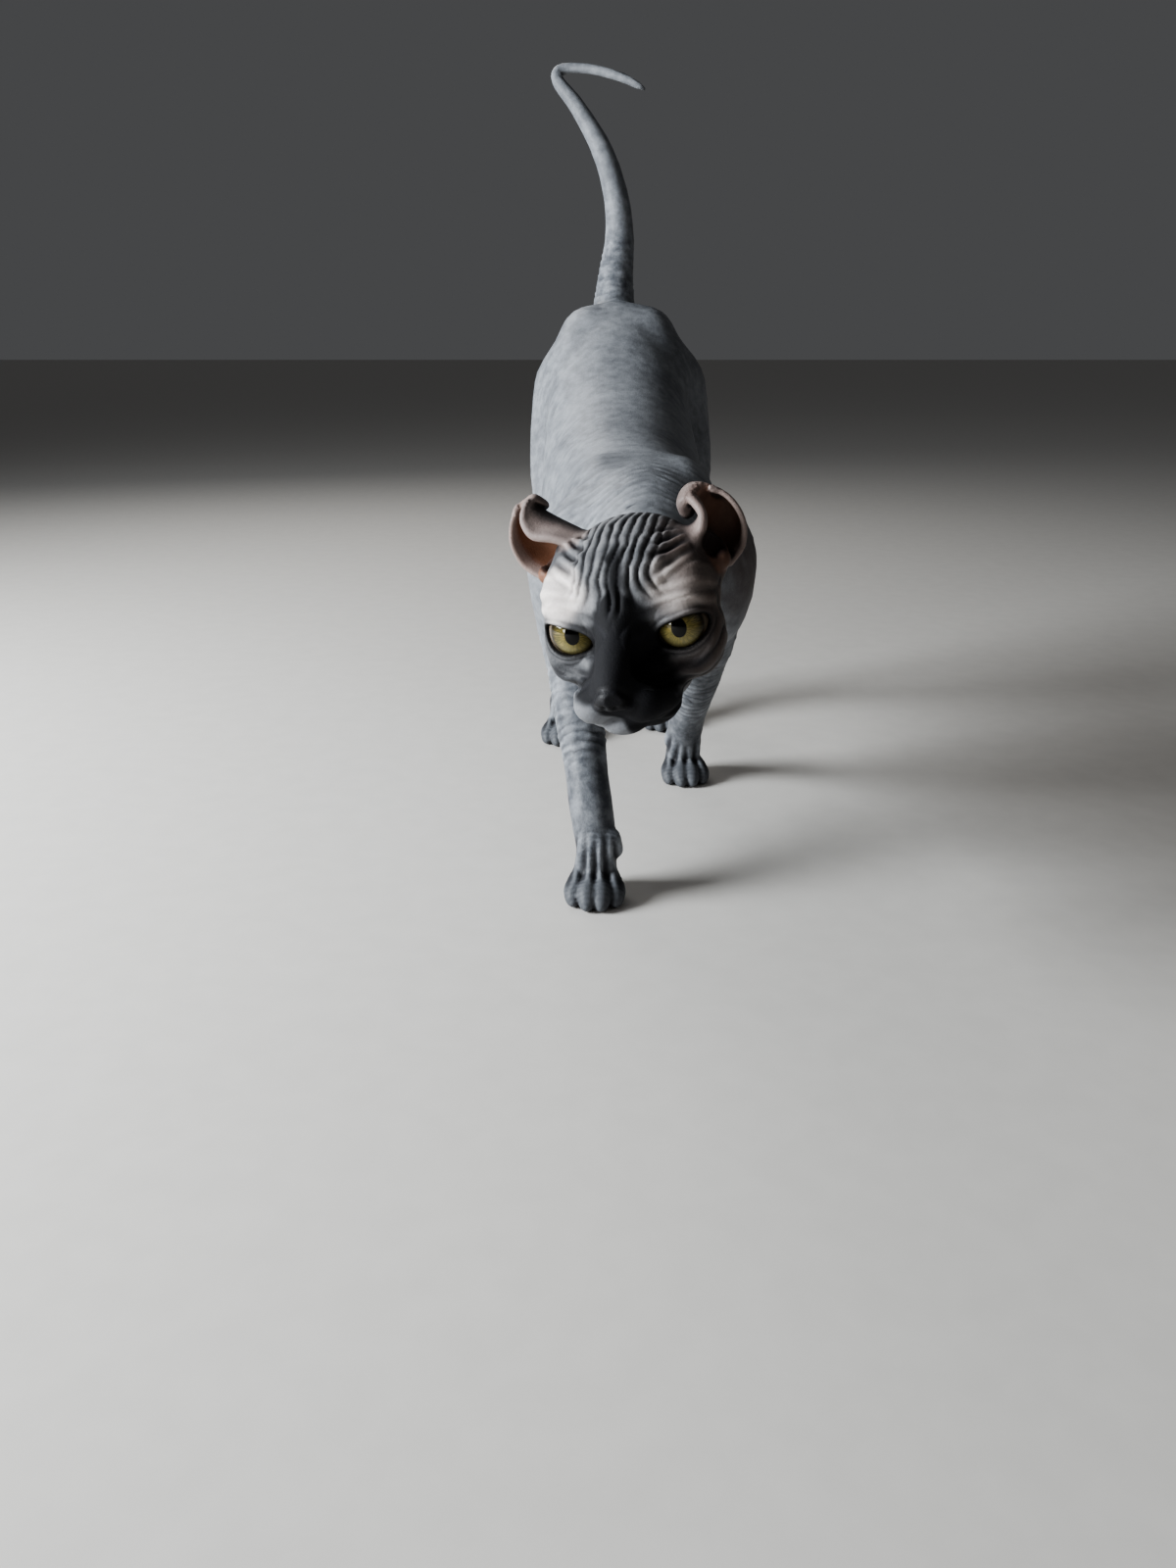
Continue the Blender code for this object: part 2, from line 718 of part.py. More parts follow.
def finish(name, colour, roughness):
    material = bpy.data.materials.get(name) or bpy.data.materials.new(name)
    material.use_nodes = True
    shader = material.node_tree.nodes["Principled BSDF"]
    shader.inputs["Base Color"].default_value = (*colour, 1)
    shader.inputs["Roughness"].default_value = roughness
    shader.inputs["Metallic"].default_value = 0.0
    material.diffuse_color = (*colour, 1)
    return material


def finish_part(target, name, colour_name, roughness=0.55, smooth=True):
    target.name = name
    target.data.name = name
    target.data.materials.clear()
    target.data.materials.append(finish(f"{name}_skin", SKIN_COLOURS[colour_name], roughness))
    if smooth:
        target.data.shade_smooth()
        target.data.set_sharp_from_angle(angle=math.radians(50))
    return target


# Building the body

def build_body():
    """The trunk, neck, limbs and tail as one skin, parted by the thin cuts."""
    base_pieces = [trunk_piece(), tube("tail", TAIL)]
    base_pieces += neck_pieces() + skull_pieces() + foreleg_pieces() + hindleg_pieces()
    skin = fuse("body", base_pieces, BODY_VOXEL, 10)
    folds = folds_on(skin, body_fold_paths(), "fold")
    skin = fuse("body", [skin] + folds, BODY_VOXEL, 4)
    bpy.ops.mesh.primitive_cube_add(size=1)
    floor = bpy.context.active_object
    floor.data.transform(Matrix.Translation((0, 0, FLOOR_CUT - 0.05)) @ Matrix.Diagonal((1, 1, 0.1, 1)))
    skin = boolean(skin, [floor], "DIFFERENCE", "MANIFOLD")
    for cut in body_cuts():
        skin = boolean(skin, [cut], "DIFFERENCE", "MANIFOLD")
    bodies = loose_bodies(skin)
    trees = [(body, BVHTree.FromPolygons(
        [vertex.co.copy() for vertex in body.data.vertices],
        [tuple(polygon.vertices) for polygon in body.data.polygons])) for body in bodies]
    used = []
    for name, anchor in part_anchors().items():
        body = next((piece for piece, tree in trees if holds(tree, anchor)), None)
        if body is None or body in used:
            raise ValueError(f"no piece of its own holds the anchor of {name}")
        used.append(body)
        kind = name.replace("_right", "").replace("_left", "")
        body.name = name
        part = largest_body(thin_out(body, TRIANGLES[kind]))
        colour = "dark" if "paw" in kind or "foot" in kind else "slate"
        finish_part(part, name, colour)
    for body in bodies:
        if body not in used:
            bpy.data.objects.remove(body, do_unlink=True)


def holds(tree, point):
    """Whether a closed surface holds a point: a ray from it meets the surface an odd number of times."""
    direction = Vector((0.31, 0.22, 0.925)).normalized()
    start = point
    hits = 0
    while True:
        place, _, _, _ = tree.ray_cast(start, direction)
        if place is None:
            return hits % 2 == 1
        hits += 1
        start = place + direction * 1e-5


# Building the head

def almond(side, reach, share):
    """Ring of the lid opening at a distance in front of the eye's centre."""
    ring = []
    for step in range(24):
        angle = 2 * math.pi * step / 24
        across = math.cos(angle)
        rise = math.copysign(abs(math.sin(angle)) ** 1.15, math.sin(angle))
        x = across * LID_WIDTH / 2 * share
        z = rise * LID_HEIGHT / 2 * share
        ring.append(Vector((x, -reach, z)))
    turn = Matrix.Rotation(side * EYE_TURN, 3, "Z") @ Matrix.Rotation(-side * LID_TILT, 3, "Y")
    base = eye_centre(side)
    whole = head_turn.to_3x3() @ turn
    return [base + whole @ point for point in ring]


def head_cutters():
    cutters = []
    for name, side in SIDES.items():
        socket = EYE_RADIUS + 0.0003
        cutters.append(ball(f"socket_{name}", eye_centre(side), (socket, socket, socket), None, 20))
        rings = [almond(side, 0.002, 0.6), almond(side, 0.0105, 0.98), almond(side, 0.0165, 1.12)]
        cutters.append(closed_loft(f"lids_{name}", rings))
        cutters.append(head_ball(f"nostril_{name}", (side * 2.9, -32.5, -18.6), (1.5, 2.4, 1.1), segments=10))
        cutters.append(head_tube(f"nostril_slit_{name}", (
            (side * 3.2, -32.5, -19.0, 0.6), (side * 5.2, -31.2, -18.4, 0.7),
            (side * 6.8, -29.0, -17.6, 0.3)), 2, 8))
        cutters.append(head_tube(f"mouth_{name}", (
            (side * 0.6, -30.5, -28.4, 0.75), (side * 8, -28.0, -30.4, 0.75),
            (side * 16, -19.0, -31.0, 0.75), (side * 22.5, -8.0, -29.0, 0.6)), 3, 8))
        cutters.append(head_ball(f"ear_canal_{name}", (side * 35, 24, 23), (4.2, 4.6, 4.6), segments=12))
    cutters.append(head_tube("philtrum", (
        (0, -32.4, -20.5, 0.5), (0, -31.0, -24.5, 0.55), (0, -30.0, -28.6, 0.6)), 2, 8))
    return cutters


def build_head():
    base_pieces = skull_pieces() + neck_pieces()
    skin = fuse("head", base_pieces, HEAD_VOXEL, 14)
    folds = folds_on(skin, head_fold_paths(), "fold")
    skin = fuse("head", [skin] + folds, HEAD_VOXEL, 5)
    skin = boolean(skin, [neck_cut()], "DIFFERENCE", "MANIFOLD")
    pieces = loose_bodies(skin)
    pieces.sort(key=lambda piece: min(vertex.co.y for vertex in piece.data.vertices))
    skin = pieces[0]
    for extra in pieces[1:]:
        bpy.data.objects.remove(extra, do_unlink=True)
    skin = thin_out(skin, TRIANGLES["head"])
    grown = skin.copy()
    grown.data = skin.data.copy()
    link(grown)
    swell = grown.modifiers.new("Swell", "DISPLACE")
    swell.strength = GAP
    swell.mid_level = 0
    grown = evaluated_copy(grown, "grown")
    for cutter in head_cutters():
        skin = boolean(skin, [cutter], "DIFFERENCE")
    head = largest_body(skin)
    finish_part(head, "head", "slate")
    return grown


def ear_point(ear, side, across, along):
    """Point of the ear's middle surface: across runs from its inner to its outer margin,
    along runs from its root to its tip, both from 0 to 1."""
    axis = Vector(ear["axis"]).normalized()
    facing = Vector(ear["facing"])
    facing = (facing - axis * facing.dot(axis)).normalized()
    outward = axis.cross(facing) * -side
    climb = along * EAR_LENGTH
    straight = EAR_LENGTH * EAR_STRAIGHT_SHARE
    bend = max(climb - straight, 0) / EAR_CURL_RADIUS
    height = min(climb, straight) + EAR_CURL_RADIUS * math.sin(bend)
    back = EAR_CURL_RADIUS * (1 - math.cos(bend))
    spine = Vector(ear["root"]) * MM + axis * height - facing * back
    normal = facing * math.cos(bend) + axis * math.sin(bend)
    half_width = EAR_HALF_WIDTH * (0.66 + 1.15 * along - 1.25 * along ** 2.4)
    opening = math.radians(128 - 30 * along)
    angle = (across * 2 - 1) * opening
    depth = half_width * (0.95 - 0.25 * along)
    point = spine + outward * half_width * math.sin(angle) - normal * depth * math.cos(angle)
    edge = max(abs(across * 2 - 1) - 0.72, 0) / 0.28
    turned = math.copysign(1, across - 0.5)
    point += outward * turned * EAR_ROLL * edge ** 1.5 - normal * EAR_ROLL * 0.6 * edge ** 3
    return point


def build_ear(name, side, grown):
    """Curled gutter of skin with turned-out margins, its root cut to the side of the head."""
    columns = 17
    rows = 11
    shape = bmesh.new()
    grid = []
    for row in range(rows):
        line = []
        for column in range(columns):
            point = ear_point(EARS[name], side, column / (columns - 1), row / (rows - 1))
            line.append(shape.verts.new(head_matrix @ point))
        grid.append(line)
    for lower, upper in zip(grid, grid[1:]):
        for index in range(columns - 1):
            shape.faces.new((lower[index], lower[index + 1], upper[index + 1], upper[index]))
    mesh = bpy.data.meshes.new("ear")
    shape.to_mesh(mesh)
    shape.free()
    ear = link(bpy.data.objects.new("ear", mesh))
    wall = ear.modifiers.new("Wall", "SOLIDIFY")
    wall.thickness = EAR_WALL
    wall.offset = 0
    ear = evaluated_copy(ear, "ear")
    weld(ear)
    tool = grown.copy()
    tool.data = grown.data.copy()
    link(tool)
    ear = largest_body(boolean(ear, [tool], "DIFFERENCE"))
    finish_part(ear, f"ear_{name}", "ear", 0.5)


def build_eye(name, side):
    bpy.ops.mesh.primitive_uv_sphere_add(segments=16, ring_count=10, radius=EYE_RADIUS - 0.0001)
    eye = bpy.context.active_object
    for collection in list(eye.users_collection):
        collection.objects.unlink(eye)
    link(eye)
    aim = head_turn @ Matrix.Rotation(side * EYE_TURN, 4, "Z") @ Matrix.Rotation(math.radians(90), 4, "X")
    eye.data.transform(Matrix.Translation(eye_centre(side)) @ aim)
    finish_part(eye, f"eye_{name}", "iris", 0.12)


def build_cat():
    grown_head = build_head()
    for name, side in SIDES.items():
        build_ear(name, side, grown_head)
        build_eye(name, side)
    bpy.data.objects.remove(grown_head, do_unlink=True)
    build_body()
    stand_on_origin()


def stand_on_origin():
    """Bring the middle of the whole box over the origin and the paws' flats to z = 0."""
    corners = [vertex.co for part in parts_collection.objects for vertex in part.data.vertices]
    middle_x = (min(corner.x for corner in corners) + max(corner.x for corner in corners)) / 2
    middle_y = (min(corner.y for corner in corners) + max(corner.y for corner in corners)) / 2
    for part in parts_collection.objects:
        part.data.transform(Matrix.Translation((-middle_x, -middle_y, -FLOOR_CUT)))


build_cat()
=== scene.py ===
import math
import time

import bmesh
import bpy
import numpy as np
from mathutils import Matrix, Vector
from mathutils.bvhtree import BVHTree


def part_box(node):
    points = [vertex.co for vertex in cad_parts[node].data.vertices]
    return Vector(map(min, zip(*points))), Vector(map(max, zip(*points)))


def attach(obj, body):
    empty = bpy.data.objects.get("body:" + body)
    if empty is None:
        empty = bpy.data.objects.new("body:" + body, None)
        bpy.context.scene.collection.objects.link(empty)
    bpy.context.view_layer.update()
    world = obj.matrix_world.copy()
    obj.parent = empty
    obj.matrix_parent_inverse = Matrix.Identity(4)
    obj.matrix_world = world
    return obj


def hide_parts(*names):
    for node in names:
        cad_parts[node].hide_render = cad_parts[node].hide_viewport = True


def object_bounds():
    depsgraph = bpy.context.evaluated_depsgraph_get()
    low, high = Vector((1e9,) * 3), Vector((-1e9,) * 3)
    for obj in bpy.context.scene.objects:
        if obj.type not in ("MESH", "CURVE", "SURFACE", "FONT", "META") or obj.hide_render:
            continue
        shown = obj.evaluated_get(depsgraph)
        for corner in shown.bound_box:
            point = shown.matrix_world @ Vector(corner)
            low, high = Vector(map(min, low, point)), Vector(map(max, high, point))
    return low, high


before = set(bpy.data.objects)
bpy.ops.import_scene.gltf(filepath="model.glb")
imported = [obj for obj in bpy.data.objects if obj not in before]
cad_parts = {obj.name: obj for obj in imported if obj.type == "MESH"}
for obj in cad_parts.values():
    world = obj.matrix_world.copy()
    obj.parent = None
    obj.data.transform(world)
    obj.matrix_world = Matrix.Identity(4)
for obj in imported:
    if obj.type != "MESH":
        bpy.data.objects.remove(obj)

started = time.time()
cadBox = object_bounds()


def report(stage):
    print(f"{stage} ({time.time() - started:.0f} s)")


# Lengths of the model are in millimetres until a mesh is made
sides = {"right": -1, "left": 1}

headPose = {
    "place": (-10.4, -235.2, 161.0),
    "yaw": -17.5,
    "pitch": 9.0,
    "roll": -8.5,
}

skinShape = {
    "step": 0.75,    # size of a grid cell
    "triangles": 196000,
    "inset": 0.25,    # room left for the folds
    "floorCut": 1.2,    # height of the flats under the paws
    "far": 20.0,    # distance where no form is near
    "low": (-75.0, -275.0, -3.0),
    "high": (75.0, 262.0, 468.0),
}

# Places on the head are in head millimetres: x to the cat's left, y backwards, z up from the eyes.
# A ball is its centre, its radii and how softly it blends; a tube's stations are places with a radius.
# What both sides have is drawn for the left.
eyeShape = {
    "radius": 12.1,
    "spacing": 47.4,
    "depth": 9.2,
    "turn": 14.0,
    "tilt": 14.5,
    "openingWidth": 21.4,
    "openingHeight": 12.0,
    "drop": 1.1,
    "outerLift": 0.5,
    "upperFullness": 0.35,
    "lowerFullness": -0.25,
    "lidWall": 2.0,
    "lidSlope": 0.8,
    "lidReach": 4.5,
    "lidCone": 0.62,
    "gap": 0.15,
    "rimOut": 1.25,
    "rimUp": 1.35,
    "rimRadius": 1.15,
}

headShape = {
    "blend": 5.0,
    "skull": (
        ((0, 32, 11), (33, 33, 30)),
        ((0, 14, 13), (30, 18, 22)),
        ((0, 9, 6), (33, 14, 13)),
        ((0, 8, -22), (24, 24, 13)),
        ((0, 44, 0), (29, 24, 26)),
    ),
    "cheeks": (
        ((26, 15, -11), (13.5, 20, 15)),
        ((27, 18, 11), (12.5, 18, 16)),
        ((28.5, 13, -5), (10.3, 14, 11)),
        ((24, 28, 18), (12.5, 18, 16)),
        ((31, 31, 20), (11, 10.5, 11.5)),
        ((15, 4, -14), (12.5, 9.5, 10.5)),
    ),
    "bridge": ((0, 16, 14, 11), (0, 3, 8, 11.2), (0, -6, 0, 9.7), (0, -17, -8, 8.7), (0, -24, -13, 6.9)),
    "bridgeBlend": 4.0,
    "snout": (((0, -12, -19), (16.5, 16.5, 12.0), 4.0),),
    "muzzle": (
        ((6.0, -3.5, -6), (6.8, 8.5, 12), 3.0),
        ((10.2, -18.5, -23.0), (10.2, 10.3, 8.6), 2.5),
        ((15, -8, -25), (8.5, 12, 8), 4.0),
        ((9, -5, -30.5), (12.5, 13, 8.5), 3.0),
        ((eyeShape["spacing"] / 2, eyeShape["depth"], 0), (13.7, 13.7, 13.5), 3.0),
    ),
    "chin": (((0, -16, -32), (10.5, 9.5, 6), 2.5),),
}

noseShape = {
    "tip": (((0, -29.8, -16.8), (6.2, 4.2, 5.0), 1.2),),
    "wings": (((4.8, -28.8, -18.6), (3.1, 3.6, 3.2), 1.0),),
    "nostrils": (((2.7, -34.2, -19.4), (1.6, 2.8, 1.35), 0.7),),
    "slits": ((3.0, -33.8, -19.8, 1.0), (5.6, -32.2, -19.1, 0.95), (7.9, -29.4, -17.0, 0.6)),
    "mouth": (
        (0, -31.2, -28.0, 0.75), (6.5, -30.4, -30.0, 0.9), (13, -24.5, -31.2, 0.9),
        (19, -15.0, -31.6, 0.9), (24.5, -5.0, -29.6, 0.7),
    ),
    "philtrum": ((0, -34.2, -20.4, 0.6), (0, -32.4, -24.5, 0.75), (0, -31.0, -28.2, 0.85)),
}

# Each neck tube starts at head places and ends at body places
neckShape = {
    "blend": 10.0,
    "tubes": (
        (
            ((0, 30, -8, 23.0), (0, 52, -10, 26.0)),
            ((4, -145, 168, 30.5), (4, -112, 168, 38.5), (3, -80, 168, 41.5)),
        ),
        (((0, 18, -26, 15.0), (0, 38, -28, 19.0)), ((4, -140, 148, 24.0), (4, -105, 145, 28.0))),
    ),
}

# Each ear is a sheet through rows of places from root to curled tip; a row runs from front to rear margin
earShape = {
    "blend": 3.0,
    "wallRadius": 1.15,
    "frontMarginRadius": 2.3,
    "rearMarginRadius": 1.5,
    "tipRadius": {"right": 3.0, "left": 4.1},
    "frontMargin": 0.18,
    "rearMargin": 0.12,
    "tipStart": 0.62,
    "tipLength": 0.2,
    "canal": (((37.5, 27.5, 27), (5.0, 8.0, 5.2), 1.6),),
    "lobe": (((40, 27, 20), (3.6, 4.4, 4.2), 2.0),),
    "right": (
        ((-24, 24, 33.5), (-20, 34, 34.5), (-24, 44, 29), (-34, 46, 19), (-42, 33, 15)),
        ((-33, 25, 36.5), (-28, 35, 38.5), (-33, 45, 35), (-44, 46, 26.5), (-53, 36, 22)),
        ((-41.5, 26.5, 38), (-36, 35, 42.5), (-40, 44, 41.5), (-50, 45, 35), (-57, 37, 31.5)),
        ((-45.5, 29, 42.5), (-41, 35, 46), (-44, 42, 46.5), (-51.5, 43, 42.5), (-56.5, 38, 38.5)),
        ((-46, 31.5, 46.5), (-43.5, 35.5, 49), (-45.5, 40, 49.5), (-50.5, 41, 47), (-54, 38, 44)),
        ((-44.5, 36, 49.5), (-43.5, 39.5, 50.0), (-45, 43, 49.5), (-48, 44, 48), (-51, 41.5, 47)),
        ((-41.5, 41, 47.5), (-41.5, 43, 47), (-42, 45, 46), (-44, 45.5, 45.5), (-46, 44.5, 45.5)),
    ),
    "left": (
        ((27, 22, 26), (25, 33, 30), (28, 43, 26), (36, 46, 19), (41, 36, 15)),
        ((32, 26, 31.5), (30, 36, 35.5), (35, 46, 33), (43, 48, 26), (46, 40, 20.5)),
        ((33.5, 28, 35.5), (32, 37, 39.5), (37, 46, 38.5), (44, 48, 34), (47.5, 42, 28.5)),
        ((33, 31, 39), (31.5, 38, 42.5), (35, 45, 43), (41, 47, 40), (45.5, 43, 36)),
        ((30.5, 34, 42), (30, 39, 44.5), (32.5, 44, 45.5), (37, 46, 44.5), (41, 44, 42)),
        ((27.5, 36.5, 44), (27.5, 40, 45.5), (29, 43.5, 46.5), (32, 45.5, 46), (35, 44.5, 45)),
        ((24.5, 38.5, 42), (24.5, 41, 43), (25, 43.5, 44), (26, 45.5, 44.5), (27.5, 45, 44.5)),
        ((24.5, 40.5, 38.5), (24.2, 42.5, 39.5), (24.2, 44, 40.5), (24.5, 45, 41), (25, 45, 41.5)),
    ),
}


def turnAbout(axis, degrees):
    return np.array(Matrix.Rotation(math.radians(degrees), 3, axis))


headTurn = turnAbout("Z", headPose["yaw"]) @ turnAbout("X", headPose["pitch"]) @ turnAbout("Y", headPose["roll"])
headPlace = np.array(headPose["place"])


def fromHead(points):
    return np.asarray(points, float) @ headTurn.T + headPlace


def toHead(points):
    return (np.asarray(points, float) - headPlace) @ headTurn


def eyeCentre(side):
    return fromHead((side * eyeShape["spacing"] / 2, eyeShape["depth"], 0))


# The model is drawn about the walking cat's shoulders; the eye node says where the frame puts it
eyeLow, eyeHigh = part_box("eye_left")
modelShift = (np.array(eyeLow) + np.array(eyeHigh)) / 2 - eyeCentre(1) / 1000


def mirrored(side, places):
    return [(side * x, *rest) for x, *rest in places]


def between(first, second, share):
    return np.array(first, float) * (1 - share) + np.array(second, float) * share


def smoothStep(low, high, value):
    t = np.clip((value - low) / (high - low), 0, 1)
    return t * t * (3 - 2 * t)


def smoothPath(stations, steps=8):
    rows = [np.array(station, float) for station in stations]
    rows = [rows[0] * 2 - rows[1]] + rows + [rows[-1] * 2 - rows[-2]]
    samples = []
    for index in range(1, len(rows) - 2):
        before, start, end, after = rows[index - 1:index + 3]
        for step in range(steps):
            t = step / steps
            samples.append(
                start * (1 - 2.5 * t * t + 1.5 * t ** 3)
                + end * (0.5 * t + 2 * t * t - 1.5 * t ** 3)
                + before * (-0.5 * t + t * t - 0.5 * t ** 3)
                + after * (-0.5 * t * t + 0.5 * t ** 3)
            )
    samples.append(rows[-2])
    return np.array(samples)


cubeCorners = [(dx, dy, dz) for dx in (0, 1) for dy in (0, 1) for dz in (0, 1)]


def cornerShares(t):
    # the corners of a grid cell, and how much each counts at the places t within the cell
    for corner in cubeCorners:
        first, second, third = (t[:, axis] if corner[axis] else 1 - t[:, axis] for axis in range(3))
        yield corner, first * second * third


def softNoise(points, scale, seed, cells=24):
    # smooth noise from -1 to 1 with features about one scale wide
    lattice = np.random.RandomState(seed).rand(cells, cells, cells) * 2 - 1
    p = np.asarray(points, float) / scale
    cell = np.floor(p).astype(int)
    t = p - cell
    total = 0
    for corner, share in cornerShares(t * t * (3 - 2 * t)):
        total = total + share * lattice[tuple(((cell + corner) % cells).T)]
    return total


def wrinkle(angle, sharpness=0.7, middle=0.6):
    # rounded ridges parted by narrow creases, one for each half turn
    return np.abs(np.sin(angle)) ** sharpness - middle


def softMinimum(first, second, radius):
    near = np.clip(radius - np.abs(first - second), 0, None) / radius
    return np.minimum(first, second) - near * near * radius / 4


def turnedGrid(grid, centre, turn):
    # the grid's three coordinates about a centre, in a turned frame
    d = [grid[i] - np.float32(centre[i]) for i in range(3)]
    return [sum(np.float32(turn[i][j]) * d[i] for i in range(3)) for j in range(3)]


# A field of distances to the skin, on a grid: forms are blended into it and hollows carved out

class SkinField:
    def __init__(self, low, high, step):
        self.low = np.array(low, float)
        self.step = step
        self.shape = tuple(int(math.ceil(size / step)) + 1 for size in np.array(high) - self.low)
        self.values = np.full(self.shape, skinShape["far"], np.float32)

    def window(self, low, high):
        first = np.maximum(np.floor((np.array(low) - self.low) / self.step).astype(int), 0)
        last = np.minimum(np.ceil((np.array(high) - self.low) / self.step).astype(int) + 1, self.shape)
        part = tuple(slice(a, max(b, a)) for a, b in zip(first, last))
        x, y, z = (
            (self.low[i] + self.step * np.arange(part[i].start, part[i].stop)).astype(np.float32)
            for i in range(3)
        )
        return part, (x[:, None, None], y[None, :, None], z[None, None, :])

    def blend(self, part, distance, radius):
        self.values[part] = softMinimum(self.values[part], distance, radius)

    def carve(self, part, distance, radius):
        self.values[part] = -softMinimum(-self.values[part], distance, radius)

    def sample(self, points):
        p = (points - self.low) / self.step
        cell = np.clip(np.floor(p).astype(int), 0, np.array(self.shape) - 2)
        total = 0
        for corner, share in cornerShares(p - cell):
            total = total + share * self.values[tuple((cell + corner).T)]
        return total

    def height(self, points):
        # how far outside the skin before its folds are raised
        return self.sample(points) + skinShape["inset"]

    def slope(self, points):
        parts = []
        for axis in range(3):
            offset = np.zeros(3)
            offset[axis] = self.step * 0.8
            parts.append(self.sample(points + offset) - self.sample(points - offset))
        slope = np.stack(parts, 1)
        return slope / (np.linalg.norm(slope, axis=1, keepdims=True) + 1e-9)


def addBall(field, centre, radii, blend, turn=np.identity(3), carve=False):
    reach = max(radii) + blend + 3
    part, grid = field.window(np.array(centre) - reach, np.array(centre) + reach)
    local = turnedGrid(grid, centre, turn)
    inner = np.sqrt(sum((local[j] / np.float32(radii[j])) ** 2 for j in range(3)))
    slope = np.sqrt(sum((local[j] / np.float32(radii[j] ** 2)) ** 2 for j in range(3)))
    distance = inner * (inner - 1) / np.maximum(slope, 1e-4)
    (field.carve if carve else field.blend)(part, distance, blend)


def addTube(field, stations, blend, steps=6, carve=False):
    rows = smoothPath(stations, steps)
    rows[:, 3] = np.maximum(rows[:, 3], 0.15)
    margin = blend + 3
    low = (rows[:, :3] - rows[:, 3:]).min(0) - margin
    high = (rows[:, :3] + rows[:, 3:]).max(0) + margin
    whole, _ = field.window(low, high)
    nearest = np.full([part.stop - part.start for part in whole], skinShape["far"], np.float32)
    for start, end in zip(rows, rows[1:]):
        along = end[:3] - start[:3]
        length2 = max(float(along @ along), 1e-6)
        reach = max(start[3], end[3]) + margin
        part, grid = field.window(
            np.maximum(np.minimum(start, end)[:3] - reach, low),
            np.minimum(np.maximum(start, end)[:3] + reach, high))
        d = [grid[i] - np.float32(start[i]) for i in range(3)]
        share = np.clip(sum(np.float32(along[i]) * d[i] for i in range(3)) / np.float32(length2), 0, 1)
        distance = np.sqrt(sum((d[i] - np.float32(along[i]) * share) ** 2 for i in range(3)))
        distance = distance - (np.float32(start[3]) + np.float32(end[3] - start[3]) * share)
        inner = tuple(slice(a.start - b.start, a.stop - b.start) for a, b in zip(part, whole))
        nearest[inner] = np.minimum(nearest[inner], distance)
    (field.carve if carve else field.blend)(whole, nearest, blend)


def headBalls(field, balls, side=1, carve=False):
    for (x, y, z), radii, *blend in balls:
        blend = blend[0] if blend else headShape["blend"]
        addBall(field, fromHead((side * x, y, z)), radii, blend, headTurn, carve)


def headTube(field, stations, side, blend, steps=6, carve=False):
    rows = [(*fromHead(place), radius) for *place, radius in mirrored(side, stations)]
    addTube(field, rows, blend, steps, carve)


def addSkull(field):
    headBalls(field, headShape["skull"])
    for side in sides.values():
        headBalls(field, headShape["cheeks"], side)
    headTube(field, headShape["bridge"], 1, headShape["bridgeBlend"])
    headBalls(field, headShape["snout"])
    for side in sides.values():
        headBalls(field, headShape["muzzle"], side)
    headBalls(field, headShape["chin"])


def addNeck(field):
    for fromSkull, toChest in neckShape["tubes"]:
        stations = [(*fromHead(place), radius) for *place, radius in fromSkull] + list(toChest)
        addTube(field, stations, neckShape["blend"])


def addNose(field):
    headBalls(field, noseShape["tip"])
    for side in sides.values():
        headBalls(field, noseShape["wings"], side)
        headBalls(field, noseShape["nostrils"], side, carve=True)
        headTube(field, noseShape["slits"], side, 0.7, 3, carve=True)
        headTube(field, noseShape["mouth"], side, 1.4, 5, carve=True)
    headTube(field, noseShape["philtrum"], 1, 1.0, 3, carve=True)


def eyeFrame(side):
    inward = turnAbout("Z", side * eyeShape["turn"]) @ turnAbout("Y", -side * eyeShape["tilt"])
    return headTurn @ inward


def lidOffset(across, rise, side):
    # about how many millimetres a place on the eye's front lies outside the almond opening; below 0 is open
    halfWidth = eyeShape["openingWidth"] / 2
    halfHeight = eyeShape["openingHeight"] / 2
    x = across * side
    inner = np.clip(-x / halfWidth, 0, 1)
    lift = eyeShape["outerLift"] * np.clip(x / halfWidth, -1, 1)
    z = rise - lift + eyeShape["drop"]
    fullness = np.where(z > 0, eyeShape["upperFullness"], eyeShape["lowerFullness"])
    tall = halfHeight * (1 + fullness * inner ** 1.4)
    shape = np.sqrt((x / halfWidth) ** 2 + (z / tall) ** 2 + 1e-9)
    scale = np.sqrt(x * x + z * z + 1e-9) / shape
    return (shape - 1) * scale


def addLids(field):
    eyeRadius = eyeShape["radius"]
    for side in sides.values():
        centre = eyeCentre(side)
        reach = 22.0
        part, grid = field.window(centre - reach, centre + reach)
        across, back, rise = turnedGrid(grid, centre, eyeFrame(side))
        radial = np.sqrt(across ** 2 + back ** 2 + rise ** 2)
        front = -back
        onBall = eyeRadius / np.maximum(radial, 1)
        outside = lidOffset(across * onBall, rise * onBall, side)
        # the lids thin towards the opening
        thin = eyeRadius + eyeShape["lidWall"] + eyeShape["lidSlope"] * np.maximum(outside, 0) - radial
        thin = np.maximum(np.maximum(thin, outside - eyeShape["lidReach"]), eyeShape["lidCone"] * radial - front)
        field.carve(part, thin.astype(np.float32), 2.0)
        opening = np.maximum(outside, 3.0 - front)
        field.carve(part, opening.astype(np.float32), 1.5)
        field.carve(part, (radial - eyeRadius - eyeShape["gap"]).astype(np.float32), 0.4)
        # raised rim round the opening
        ring = np.sqrt((outside - eyeShape["rimOut"]) ** 2 + (radial - eyeRadius - eyeShape["rimUp"]) ** 2)
        ring = np.where(front > 1.0, ring - eyeShape["rimRadius"], 5.0)
        field.blend(part, ring.astype(np.float32), 1.2)


earSurfaces = {}


def earShares(name, face):
    # how far across and along its ear a face of the sheet lies, from 0 to 1
    _, rows, columns = earSurfaces[name]
    return (face % (columns - 1)) / (columns - 2), (face // (columns - 1)) / (rows - 2)


